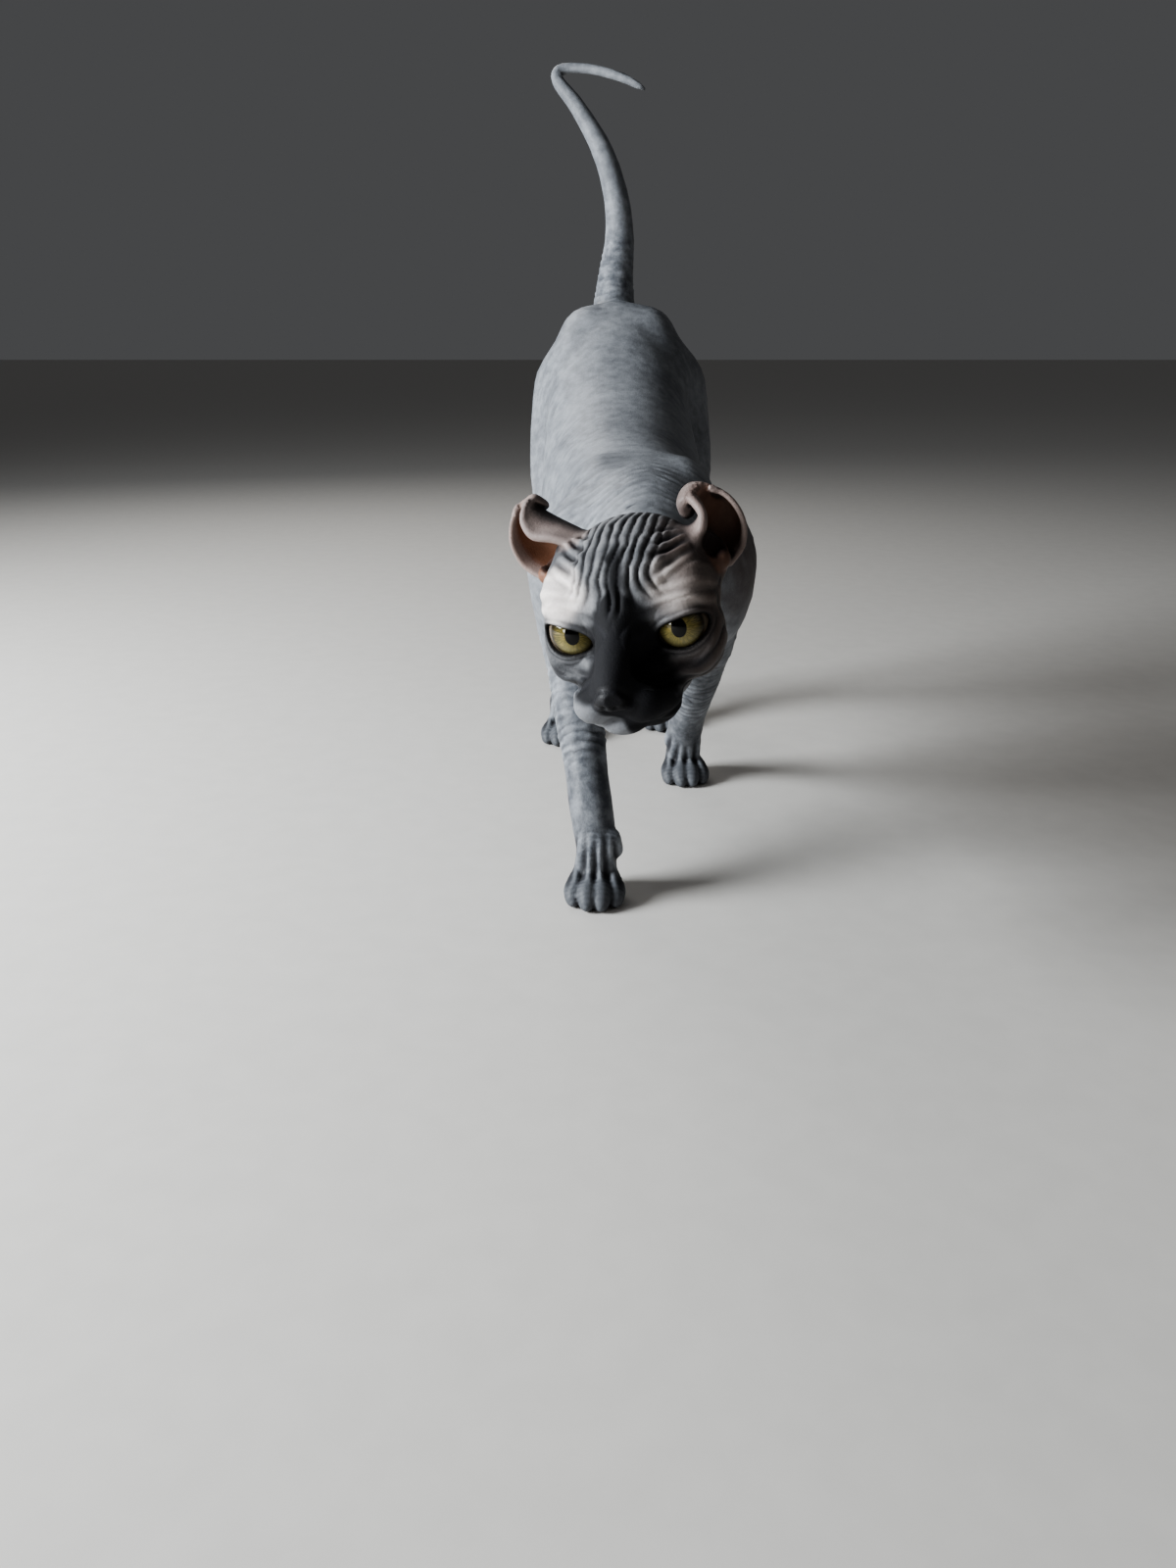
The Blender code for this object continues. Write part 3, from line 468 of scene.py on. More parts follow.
def earRadius(name, face):
    # half the sheet's thickness, rounder at the margins and the tip
    column, row = earShares(name, face)
    front = max(earShape["frontMargin"] - column, 0) / earShape["frontMargin"]
    rear = max(column - (1 - earShape["rearMargin"]), 0) / earShape["rearMargin"]
    end = min(max(row - earShape["tipStart"], 0) / earShape["tipLength"], 1)
    wall = earShape["wallRadius"]
    thick = (
        (front, earShape["frontMarginRadius"]), (rear, earShape["rearMarginRadius"]),
        (end, earShape["tipRadius"][name]))
    return max(wall + share * (radius - wall) for share, radius in thick)


def addEars(field):
    for name, side in sides.items():
        lines = [smoothPath(line, 5) for line in zip(*earShape[name])]
        grid = fromHead(np.array([smoothPath(row, 10) for row in zip(*lines)]))
        rows, columns = grid.shape[:2]
        points = grid.reshape(-1, 3)
        corners = [row * columns + column for row in range(rows - 1) for column in range(columns - 1)]
        faces = [(first, first + 1, first + columns + 1, first + columns) for first in corners]
        surface = BVHTree.FromPolygons([tuple(point) for point in points], faces)
        earSurfaces[name] = (surface, rows, columns)
        part, axes = field.window(points.min(0) - 6, points.max(0) + 6)
        distance = np.full([piece.stop - piece.start for piece in part], skinShape["far"], np.float32)
        xs, ys, zs = (axis.ravel() for axis in axes)
        for i, x in enumerate(xs):
            for j, y in enumerate(ys):
                for k, z in enumerate(zs):
                    place, _, face, away = surface.find_nearest((x, y, z), 6.0)
                    if place is not None:
                        distance[i, j, k] = away - earRadius(name, face)
        field.blend(part, distance, earShape["blend"])
        headBalls(field, earShape["canal"], side, carve=True)
        headBalls(field, earShape["lobe"], side)


# Trunk, legs, paws and tail

bodyShape = {
    "blend": 8.0,
    # distance along the body, top, underside, half width, sideways place
    "trunk": (
        (-128, 200, 145, 26, 4),
        (-112, 209, 124, 38, 4),
        (-85, 215, 112, 45, 4),
        (-45, 220, 109, 47, 2),
        (0, 227, 113, 49.5, -2),
        (40, 238, 122, 51.5, -3),
        (75, 252, 148, 50, -4),
        (100, 264, 180, 48, -5),
        (135, 285, 198, 44, -5),
        (170, 301.5, 214, 40, -4),
        (191, 299, 236, 29, -4),
        (202, 288, 250, 15, -4),
    ),
    # balls as on the head, each with the sideways place of the body's middle there
    "rump": (((0, 190, 264), (27, 22, 28), 12.0, -4),),
    "hips": (((23, 170, 278.5), (17, 27, 18.5), 9.0, -4), ((29.5, 158, 262), (15, 30, 22), 9.0, -4)),
    "shoulders": (((37, -92, 160), (20.5, 34, 40), 9.0, 6), ((23, -62, 188), (17, 40, 28), 9.0, 4)),
    "tail": (
        (-5.0, 178.0, 270.0, 19.0),
        (-6.2, 196.0, 292.0, 16.0),
        (-5.0, 206.0, 318.0, 13.0),
        (-2.2, 212.0, 345.0, 10.6),
        (-5.0, 216.0, 373.0, 9.1),
        (-15.0, 221.0, 403.0, 7.6),
        (-33.0, 230.0, 432.0, 5.8),
        (-46.0, 237.0, 448.0, 4.6),
        (-45.5, 240.0, 455.5, 4.0),
        (-34.0, 238.0, 457.0, 3.5),
        (-18.0, 233.0, 454.5, 3.4),
        (-1.0, 227.0, 449.0, 3.2),
        (9.0, 223.0, 444.0, 2.6),
        (14.5, 221.0, 441.0, 1.2),
    ),
}

foreLegs = {
    "right": {
        "shoulder": (-36, -98, 168), "elbow": (-34.5, -84, 117), "wrist": (-23.5, -142, 46),
        "ankle": (-20.0, -153.5, 26), "toes": (-22.0, -179.5), "turn": -2,
    },
    "left": {
        "shoulder": (41, -94, 165), "elbow": (44.5, -46, 110), "wrist": (39.2, 12, 43),
        "ankle": (39.2, 22, 24), "toes": (40.2, -1.0), "turn": 3,
    },
}

hindLegs = {
    "right": {
        "hip": (-34, 160, 243), "knee": (-43.5, 108, 166), "hock": (-40.5, 166, 73),
        "ankle": (-43.0, 118, 24), "toes": (-44.0, 81), "turn": -3,
    },
    "left": {
        "hip": (30, 165, 243), "knee": (40.0, 122, 160), "hock": (33.0, 184, 72),
        "ankle": (32.5, 146, 24), "toes": (33.0, 114), "turn": 3,
    },
}

# Tubes of a leg as (blend, stations); a station lies part of the way between two joints, with a radius and shift
foreTubes = (
    (8.0, (("shoulder", "elbow", 0, 22), ("shoulder", "elbow", 0.5, 19.5), ("shoulder", "elbow", 1, 14.5))),
    (5.0, (
        ("shoulder", "elbow", 0.8, 16.0), ("elbow", "wrist", 0, 14.8), ("elbow", "wrist", 0.42, 13.8),
        ("elbow", "wrist", 0.8, 11.6), ("elbow", "wrist", 1, 11.8), ("wrist", "ankle", 1, 10.8))),
)
hindTubes = (
    (9.0, (("hip", "knee", 0, 29), ("hip", "knee", 0.55, 27.0), ("hip", "knee", 1, 18.5))),
    (8.0, (
        ("hip", "knee", 0, 20.0, (0, 14, -20)), ("hip", "knee", 0.6, 17.0, (0, 26, 0)),
        ("knee", "hock", 0.28, 11.0, (0, 9, 2)))),
    (5.0, (
        ("knee", "hock", 0, 18.0), ("knee", "hock", 0.35, 14.0), ("knee", "hock", 0.72, 9.8),
        ("knee", "hock", 1, 9.0))),
    (3.0, (
        ("knee", "hock", 0.45, 6.2, (0, 10, 2)), ("knee", "hock", 0.75, 4.5, (0, 8.5, 4)),
        ("knee", "hock", 1, 6.2, (0, 6.5, 4)))),
    (4.0, (
        ("hock", "ankle", 0, 8.8, (0, 3, 3)), ("hock", "ankle", 0, 9.2), ("hock", "ankle", 0.5, 8.6),
        ("hock", "ankle", 1, 9.0))),
)

pawShape = {
    "width": 30.0,
    "toesAcross": 4.25,
    "outerSetback": 5.0,
    "toeRadius": 5.6,
    "toeBlend": 1.0,
    # a toe's stations: share of its sideways place, place behind the tips, share of its setback, height,
    # share of its radius
    "toe": (
        (0.62, 26, 0, 13.5, 0.90), (0.86, 16, 1, 12.2, 0.92), (1, 9.5, 1, 9.2, 0.98),
        (1.02, 5.0, 1, 5.8, 0.90), (1.03, 1.4, 1, 4.4, 0.52)),
}

# Sideways place and setback of each toe; the outer toes sit further back
toeSpots = [
    (across * pawShape["width"] / pawShape["toesAcross"], pawShape["outerSetback"] if abs(across) > 1 else 0.0)
    for across in (-1.5, -0.5, 0.5, 1.5)
]


def bodyBalls(field, balls, side):
    for (x, y, z), radii, blend, middle in balls:
        addBall(field, (side * x + middle, y, z), radii, blend)


def addTrunk(field):
    rows = smoothPath(bodyShape["trunk"], 6)
    part, grid = field.window((-75, rows[0][0] - 12, 95), (75, rows[-1][0] + 14, 320))
    along = np.clip(grid[1].ravel(), rows[0][0], rows[-1][0])
    top, under, half, middle = (
        np.interp(along, rows[:, 0], rows[:, column]).astype(np.float32)[None, :, None] for column in range(1, 5)
    )
    beyond = np.abs(grid[1].ravel() - along).astype(np.float32)[None, :, None]
    centre = top * 0.52 + under * 0.48
    above = (grid[2] - centre) / (top - centre)
    rise = np.where(grid[2] > centre, above, (centre - grid[2]) / (centre - under))
    flat = np.abs(grid[0] - middle) / half
    shape = (flat ** 2.25 + rise ** 2.2) ** (1 / 2.22)
    distance = (shape - 1) * np.minimum(half, (top - under) / 2)
    distance = np.sqrt(np.maximum(distance, 0) ** 2 + beyond ** 2) + np.minimum(distance, 0)
    field.blend(part, distance.astype(np.float32), bodyShape["blend"])
    bodyBalls(field, bodyShape["rump"], 1)
    for side in sides.values():
        bodyBalls(field, bodyShape["hips"], side)


def pawPlace(leg, x, y, z):
    # from paw millimetres: x sideways, y back from the toes' tips, z up
    return np.array((*leg["toes"], 0.0)) + turnAbout("Z", leg["turn"]) @ np.array((x, y, z), float)


def addPaw(field, leg):
    ankle = np.array(leg["ankle"], float)
    facing = turnAbout("Z", leg["turn"])
    back = pawPlace(leg, 0, 29, 14)
    addBall(field, pawPlace(leg, 0, 23.5, 13.2), (11.2, 10, 8.3), 3.0, facing)
    addTube(field, ((*back, 10.4), (*between(back, ankle, 0.5), 11.3), (*ankle, 11.2)), 4.0)
    for spread, setback in toeSpots:
        addTube(field, [
            (*pawPlace(leg, spread * wide, behind + setback * follows, rise), pawShape["toeRadius"] * thick)
            for wide, behind, follows, rise, thick in pawShape["toe"]
        ], pawShape["toeBlend"], 5)
        addBall(field, pawPlace(leg, spread * 1.02, 8.0 + setback, 2.8), (3.7, 4.9, 4.1), 0.9, facing)
    addBall(field, pawPlace(leg, 0, 23.5, 4.0), (9.2, 7.4, 5.5), 1.2, facing)


def legTubes(field, leg, tubes):
    for blend, stations in tubes:
        rows = []
        for first, second, share, radius, *shift in stations:
            place = between(leg[first], leg[second], share) + (shift[0] if shift else (0, 0, 0))
            rows.append((*place, radius))
        addTube(field, rows, blend)


def legBall(field, leg, joint, shift, radii, blend):
    addBall(field, np.array(leg[joint], float) + np.array(shift), radii, blend)


def addLegs(field):
    for name, side in sides.items():
        leg = foreLegs[name]
        bodyBalls(field, bodyShape["shoulders"], side)
        legTubes(field, leg, foreTubes)
        legBall(field, leg, "elbow", (side, 8, 1), (9, 10, 10), 5.0)
        addPaw(field, leg)
        # dewclaw
        legBall(field, leg, "ankle", (-side * 8.6, -2, 4), (4.0, 5.0, 7.5), 4.0)
        leg = hindLegs[name]
        legBall(field, leg, "hip", (0, -6, -10), (25.5, 40, 41), 12.0)
        legTubes(field, leg, hindTubes)
        addPaw(field, leg)


def fillField():
    low, high = skinShape["low"], skinShape["high"]
    field = SkinField(low, high, skinShape["step"])
    addTrunk(field)
    addTube(field, bodyShape["tail"], bodyShape["blend"])
    addLegs(field)
    addNeck(field)
    report("body forms blended")
    addSkull(field)
    addEars(field)
    addNose(field)
    addLids(field)
    # standing flats under the paws
    part, grid = field.window(low, (high[0], high[1], 6.0))
    field.values[part] = np.maximum(field.values[part], skinShape["floorCut"] - grid[2])
    report("head forms blended")
    return field


# The skin's surface out of the field, one vertex in each grid cell that it crosses

def netOf(field):
    values = field.values
    inside = values < -skinShape["inset"]
    count = np.zeros([size - 1 for size in values.shape], np.uint8)
    for corner in cubeCorners:
        count += inside[tuple(slice(start, size - 1 + start) for start, size in zip(corner, inside.shape))]
    cells = np.argwhere((count > 0) & (count < 8))
    number = np.full(count.shape, -1, np.int32)
    number[tuple(cells.T)] = np.arange(len(cells), dtype=np.int32)
    corners = {corner: values[tuple((cells + corner).T)] + skinShape["inset"] for corner in cubeCorners}
    total = np.zeros((len(cells), 3))
    crossings = np.zeros(len(cells))
    for corner, first in corners.items():
        for axis in range(3):
            if corner[axis]:
                continue
            second = corners[tuple(1 if i == axis else corner[i] for i in range(3))]
            crosses = (first < 0) != (second < 0)
            share = np.where(crosses, first / np.where(crosses, first - second, 1), 0)
            spot = np.tile(np.array(corner, float), (len(cells), 1))
            spot[:, axis] += share
            total += spot * crosses[:, None]
            crossings += crosses
    vertices = field.low + field.step * (cells + total / crossings[:, None])
    faces = []
    unit = np.identity(3, int)
    for axis in range(3):
        one, two = unit[(axis + 1) % 3], unit[(axis + 2) % 3]
        near = [slice(1, size - 1) for size in inside.shape]
        far = list(near)
        near[axis] = slice(0, inside.shape[axis] - 1)
        far[axis] = slice(1, inside.shape[axis])
        places = np.argwhere(inside[tuple(near)] != inside[tuple(far)]) + one + two
        ring = (places, places - one, places - one - two, places - two)
        quads = np.stack([number[tuple(spot.T)] for spot in ring], 1)
        faces.append(np.where(inside[tuple(places.T)][:, None], quads, quads[:, ::-1]))
    return vertices, np.concatenate(faces)


def neighbourMean(vertices, edges):
    total = np.zeros_like(vertices)
    for axis in range(3):
        total[:, axis] = (
            np.bincount(edges[:, 0], vertices[edges[:, 1], axis], len(vertices))
            + np.bincount(edges[:, 1], vertices[edges[:, 0], axis], len(vertices))
        )
    count = np.bincount(edges.ravel(), minlength=len(vertices))
    return total / np.maximum(count, 1)[:, None]


def settle(field, vertices, faces, rounds):
    # even the net out while keeping it on the surface
    pairs = np.concatenate([faces[:, (i, (i + 1) % 4)] for i in range(4)])
    pairs = np.unique(np.sort(pairs, axis=1), axis=0)
    for _ in range(rounds):
        vertices = vertices * 0.4 + neighbourMean(vertices, pairs) * 0.6
        vertices = vertices - field.slope(vertices) * field.height(vertices)[:, None] * 0.9
    return vertices


def pathDistance(points, path):
    # distance to a line through the path's points, and how far along it, from 0 to 1
    rows = smoothPath(path, 6)
    best = np.full(len(points), 1e9)
    along = np.zeros(len(points))
    last = len(rows) - 1
    for index, (start, end) in enumerate(zip(rows, rows[1:])):
        step = end - start
        share = np.clip(((points - start) @ step) / max(step @ step, 1e-9), 0, 1)
        distance = np.linalg.norm(points - start - share[:, None] * step, axis=1)
        nearer = distance < best
        best[nearer] = distance[nearer]
        along[nearer] = (index + share[nearer]) / last
    return best, along


foldLook = {
    "foreheadSpacing": 4.15,
    "foreheadDepth": 2.0,
    "lowerLidSpacing": 3.1,
    "upperLidSpacing": 3.6,
    "lidDepth": 0.42,
    "backSpacing": 6.8,
    "backDepth": 0.42,
    "legSpacing": 5.0,
    "legDepth": 0.95,
    "pawSpacing": 3.1,
    "pawDepth": 0.34,
    "cordDepth": 0.75,
    "neckSpacing": 7.0,
    "shoulderSpacing": 7.5,
    "neckDepth": 0.55,
}

# Soft folds of the face: path on the head, width, height
faceFolds = (
    (((13, -8, 12), (22, -6, 15), (32, 2, 13), (39, 12, 7)), 1.6, 0.45),
    (((16, -4, 17), (25, 1, 19), (34, 9, 17), (39, 18, 11)), 1.4, 0.30),
    (((24, 6, 24), (31, 11, 23), (36, 18, 19)), 1.3, 0.25),
    (((15, 11, 31), (20.5, 15, 33), (27, 21, 36)), 1.4, 1.0),
    (((16, 6, 27), (22, 11, 29), (29, 17, 31)), 1.4, 0.9),
    (((17, 0, 21), (24, 6, 25), (31, 13, 27)), 1.3, 0.6),
    (((9, -14, -7), (17, -12, -15), (27, -6, -18), (36, 4, -16)), 1.7, 0.55),
    (((11, -20, -13), (19, -15, -17), (27, -5, -21), (33, 6, -22)), 1.6, -0.6),
    (((38, 14, 12), (41, 17, 3), (39, 20, -8)), 1.5, -0.7),
    (((36, 22, 6), (39, 25, -4), (36, 27, -14)), 1.8, 0.8),
    (((15, 17, 36), (19, 21, 37), (24, 25, 37)), 1.4, 0.9),
    (((14, -24, -30), (21, -14, -33), (26, -2, -33)), 1.5, 0.5),
)


def foreheadFolds(local):
    x, y, z = local.T
    warp = 1.9 * softNoise(local, 20.0, 3) + 1.5 * softNoise(local, 11.0, 4) + 0.7 * softNoise(local, 5.0, 5)
    rise = z + 0.35 * np.maximum(y - 10, 0)
    low = np.clip((25 - rise) / 17, 0, 1)
    # the folds spread apart over the eyes
    fan = 1 + 1.15 * low ** 2 * np.clip((np.abs(x) - 4.5) / 9, 0, 1)
    phase = (x + warp) / (foldLook["foreheadSpacing"] * fan)
    top = smoothStep(46, 34, y) * smoothStep(-14, -6, y)
    bottom = smoothStep(7 + 0.35 * np.abs(x), 14 + 0.35 * np.abs(x), z)
    width = smoothStep(22.5, 16.0, np.abs(x) / (0.80 + 0.20 * fan))
    broken = 0.70 + 0.42 * softNoise(local, 8.0, 6)
    return wrinkle(math.pi * phase, 0.6, 0.62) * foldLook["foreheadDepth"] * top * bottom * width * broken


def aroundEye(points, side):
    # the points turned to an eye, and their distance from its centre
    turned = (points - eyeCentre(side)) @ eyeFrame(side)
    return turned, np.linalg.norm(turned, axis=1)


def lidFolds(points):
    total = np.zeros(len(points))
    for side in sides.values():
        turned, radial = aroundEye(points, side)
        near = (radial < 32) & (turned[:, 1] < 9)
        across, _, rise = turned[near].T
        onBall = eyeShape["radius"] / radial[near]
        outside = lidOffset(across * onBall * 1.15, rise * onBall * 1.15, side)
        away = radial[near] - eyeShape["radius"]
        reach = outside + 0.25 * away + 0.5 * softNoise(points[near], 7.0, 8)
        lower = wrinkle(math.pi * reach / foldLook["lowerLidSpacing"])
        lower = lower * smoothStep(1.2, 3.0, reach) * smoothStep(14, 8, reach)
        upper = wrinkle(math.pi * reach / foldLook["upperLidSpacing"])
        upper = upper * smoothStep(1.6, 3.4, reach) * smoothStep(12, 7, reach)
        folds = lower * smoothStep(2, -4, rise) * 1.1 + upper * smoothStep(2, 7, rise) * 0.9
        total[near] += folds * foldLook["lidDepth"] * 1.5
    return total


def settledPath(field, path):
    # the path's places in head millimetres, moved onto the skin
    spots = fromHead(path)
    for _ in range(5):
        spots = spots - field.slope(spots) * field.height(spots)[:, None]
    return spots


def foldHead(field, points, lift):
    local = toHead(points)
    near = (local[:, 1] < 70) & (np.abs(local[:, 0]) < 50) & (local[:, 2] > -50) & (local[:, 2] < 48)
    near &= ~onEar(points)
    spot = local[near]
    lift[near] += foreheadFolds(spot)
    lift[near] += lidFolds(points[near])
    for side in sides.values():
        for path, width, height in faceFolds:
            distance, along = pathDistance(points[near], settledPath(field, mirrored(side, path)))
            swell = np.sin(math.pi * np.clip(along, 0.02, 0.98)) ** 0.5
            t = distance / width
            lift[near] += height * swell * (np.exp(-t * t) - 0.55 * np.exp(-((t - 1.9) / 0.8) ** 2))
    # rings of loose skin where the neck begins
    x, y, z = spot.T
    rings = y + 0.25 * z + 0.5 * np.abs(x) + 4 * softNoise(spot, 16.0, 12)
    lift[near] += (
        wrinkle(math.pi * rings / foldLook["neckSpacing"]) * foldLook["neckDepth"]
        * smoothStep(40, 48, y) * smoothStep(-48, -38, z)
    )


def onEar(points):
    found = np.zeros(len(points), bool)
    x, y, z = toHead(points).T
    for index in np.argwhere((z > 17) & (np.abs(x) > 18) & (y > 8)).ravel():
        surface = earSurfaces["left" if x[index] > 0 else "right"][0]
        found[index] = surface.find_nearest(Vector(points[index]), 2.2)[0] is not None
    return found


def foldBody(points, normals, lift):
    x, y, z = points.T
    warp = 5 * softNoise(points, 30.0, 21) + 2 * softNoise(points, 11.0, 22)
    # fine wrinkles across the back and down the flanks
    phase = (y + 0.50 * np.abs(x + 4) + warp) / foldLook["backSpacing"]
    upward = smoothStep(-0.1, 0.6, normals[:, 2])
    strength = smoothStep(-118, -95, y) * smoothStep(185, 130, y) * smoothStep(105, 130, z)
    patchy = 0.55 + 0.45 * softNoise(points, 24.0, 23)
    lift += wrinkle(math.pi * phase) * foldLook["backDepth"] * strength * (0.35 + 0.65 * upward) * patchy
    # heavier rolls over the shoulders, slanting towards the neck
    slant = y + 0.65 * np.abs(x - 6) + 0.4 * (z - 190) + 6 * softNoise(points, 19.0, 24)
    shoulders = smoothStep(-160, -135, y) * smoothStep(-70, -95, y) * smoothStep(150, 185, z)
    lift += wrinkle(math.pi * (slant / foldLook["shoulderSpacing"])) * foldLook["neckDepth"] * shoulders
    for leg in foreLegs.values():
        ringLeg(points, lift, leg["elbow"], leg["wrist"], 24, -0.25, 0.92)
    for leg in hindLegs.values():
        ringLeg(points, lift, leg["knee"], leg["hock"], 26, 0.15, 0.9)
        ringLeg(points, lift, leg["hock"], leg["ankle"], 18, 0.1, 0.9)
    for leg in (*foreLegs.values(), *hindLegs.values()):
        creasePaw(points, normals, lift, leg)
    ringLeg(points, lift, bodyShape["tail"][1][:3], bodyShape["tail"][4][:3], 24, -0.1, 0.75)


def creasePaw(points, normals, lift, leg):
    # knuckle wrinkles over the toes and the back of the paw
    local = (points - pawPlace(leg, 0, 0, 0)) @ turnAbout("Z", leg["turn"])
    near = (np.abs(local[:, 0]) < 20) & (local[:, 1] > -3) & (local[:, 1] < 42) & (local[:, 2] < 40)
    x, y, z = local[near].T
    climb = y + 0.6 * z + 1.3 * softNoise(points[near], 5.0, 51)
    wave = wrinkle(math.pi * climb / foldLook["pawSpacing"])
    patchy = 0.65 + 0.5 * softNoise(points[near], 6.0, 52)
    lift[near] += wave * patchy * foldLook["pawDepth"] * smoothStep(0.0, 0.4, normals[near, 2])
    # cords over the toe bones, up to the wrist
    narrowed = x * (1 + np.maximum(z - 12, 0) / 50) + 0.8 * softNoise(points[near], 8.0, 53)
    cords = -np.cos(2 * math.pi * narrowed / (pawShape["width"] / pawShape["toesAcross"]))
    lift[near] += cords * foldLook["cordDepth"] * smoothStep(7, 15, y) * smoothStep(40, 24, z)


def ringLeg(points, lift, top, bottom, reach, first, last):
    # rings round the line between two places, from the first to the last share of its length
    top = np.array(top, float)
    bottom = np.array(bottom, float)
    length = np.linalg.norm(bottom - top)
    axis = (bottom - top) / length
    along = (points - top) @ axis
    away = np.linalg.norm(points - top - along[:, None] * axis, axis=1)
    near = (away < reach) & (along > length * first) & (along < length * last)
    spot = points[near]
    share = along[near] / length
    wave = (along[near] + 2.2 * softNoise(spot, 9.0, 31) + 1.2 * softNoise(spot, 4.5, 32)) / foldLook["legSpacing"]
    fade = smoothStep(first, first + 0.15, share) * smoothStep(last, last - 0.25, share)
    patchy = 0.6 + 0.4 * softNoise(spot, 10.0, 33)
    lift[near] += wrinkle(math.pi * wave) * foldLook["legDepth"] * fade * patchy


def toWorld(points):
    return points / 1000 + modelShift


def newObject(name, mesh):
    result = bpy.data.objects.new(name, mesh)
    bpy.context.scene.collection.objects.link(result)
    return result


def meshFrom(name, vertices, faces):
    mesh = bpy.data.meshes.new(name)
    mesh.vertices.add(len(vertices))
    movePoints(mesh, vertices)
    mesh.loops.add(faces.size)
    mesh.loops.foreach_set("vertex_index", faces.ravel().astype(np.int32))
    mesh.polygons.add(len(faces))
    mesh.polygons.foreach_set("loop_start", np.arange(0, faces.size, faces.shape[1], dtype=np.int32))
    mesh.update(calc_edges=True)
    mesh.validate()
    return mesh


def movePoints(mesh, points):
    mesh.vertices.foreach_set("co", points.astype(np.float32).ravel())


def meshPoints(mesh):
    points = np.empty(len(mesh.vertices) * 3, np.float32)
    mesh.vertices.foreach_get("co", points)
    return points.reshape(-1, 3).astype(float)


def setAttribute(mesh, name, values):
    mesh.attributes.new(name, "FLOAT", "POINT").data.foreach_set("value", np.asarray(values, np.float32))


def keepLargest(mesh):
    edges = np.empty(len(mesh.edges) * 2, np.int32)
    mesh.edges.foreach_get("vertices", edges)
    edges = edges.reshape(-1, 2)
    label = np.arange(len(mesh.vertices))
    while True:
        low = np.minimum(label[edges[:, 0]], label[edges[:, 1]])
        fresh = label.copy()
        np.minimum.at(fresh, edges[:, 0], low)
        np.minimum.at(fresh, edges[:, 1], low)
        fresh = fresh[fresh]
        if (fresh == label).all():
            break
        label = fresh
    largest = np.bincount(label).argmax()
    shape = bmesh.new()
    shape.from_mesh(mesh)
    shape.verts.ensure_lookup_table()
    loose = [shape.verts[index] for index in np.argwhere(label != largest).ravel()]
    bmesh.ops.delete(shape, geom=loose, context="VERTS")
    shape.to_mesh(mesh)
    shape.free()


def thinSkin(skin):
    # fewer triangles, taken least of all from the head and the paws
    points = meshPoints(skin.data)
    local = toHead(points)
    headness = smoothStep(62, 48, local[:, 1]) * smoothStep(-52, -44, local[:, 2]) * (local[:, 2] < 70)
    pawness = smoothStep(46, 34, points[:, 2])
    levels = np.round((1 - np.maximum(headness, 0.75 * pawness)) * 20).astype(int)
    group = skin.vertex_groups.new(name="plain")
    for level in range(21):
        members = np.argwhere(levels == level).ravel().tolist()
        if members:
            group.add(members, level / 20, "REPLACE")
    count = 2 * len(skin.data.polygons)
    if count > skinShape["triangles"]:
        thin = skin.modifiers.new("Thin", "DECIMATE")
        thin.ratio = skinShape["triangles"] / count
        thin.use_collapse_triangulate = True
        thin.vertex_group = "plain"
        thin.vertex_group_factor = 8.0
        applyModifiers(skin)
        skin.vertex_groups.clear()
    report(f"skin thinned from {count} to {len(skin.data.polygons)}")


def applyModifiers(thing):
    graph = bpy.context.evaluated_depsgraph_get()
    mesh = bpy.data.meshes.new_from_object(thing.evaluated_get(graph))
    thing.modifiers.clear()
    thing.data = mesh


def buildSkin(field):
    vertices, faces = netOf(field)
    report(f"surface drawn, {len(faces)} faces")
    vertices = settle(field, vertices, faces, 3)
    normals = field.slope(vertices)
    lift = np.zeros(len(vertices))
    foldBody(vertices, normals, lift)
    foldHead(field, vertices, lift)
    floor = smoothStep(1.6, 4.0, vertices[:, 2])
    vertices = vertices + normals * (lift * floor)[:, None]
    report("folds raised")
    skin = newObject("skin", meshFrom("skin", vertices, faces))
    keepLargest(skin.data)
    thinSkin(skin)
    return skin


# Where the skin's colours lie on the head: centres with radii, and outlines by height as (heights, reaches)
paintShape = {
    "pale": ((26.5, 7, 17), (17, 15, 13)),
    "shade": ((24, 2, -17.5), (13, 20, 6)),
    "canal": ((37.5, 28, 27), (6.2, 8.5, 6.2)),
    "lobe": ((40, 27, 23), (8.5, 10, 10)),
    "nose": ((0, -30, -17), (7.6, 6.5, 6.2)),
    "mask": ((-44, -33, -26, -18, -10, -2, 5, 12, 20), (12, 22, 25, 22, 17, 15, 14, 12, 4)),
    "maskMiddle": 1.3,
    "padEdge": ((-34, -28, -24, -18), (4, 1, -5.5, -9)),
    # how much painted glow the inner face and the lobe of each ear get
    "innerGlow": {"right": 1.0, "left": 0.45},
    "lobeGlow": {"right": 0.8, "left": 0.4},
    "philtrum": (((0, -34.4, -20.4), (0, -32.6, -24.5), (0, -31.2, -28.2)), 0.9),
    "seams": (
        (((2.2, -34.5, -19.6), (5.4, -32.6, -19.2), (7.9, -29.6, -17.2)), 1.5),
        ((
            (0, -31.4, -28.0), (6.5, -30.6, -30.0), (13, -24.7, -31.2), (19, -15.2, -31.6), (24.5, -5.0, -29.6),
        ), 1.1),
    ),
}


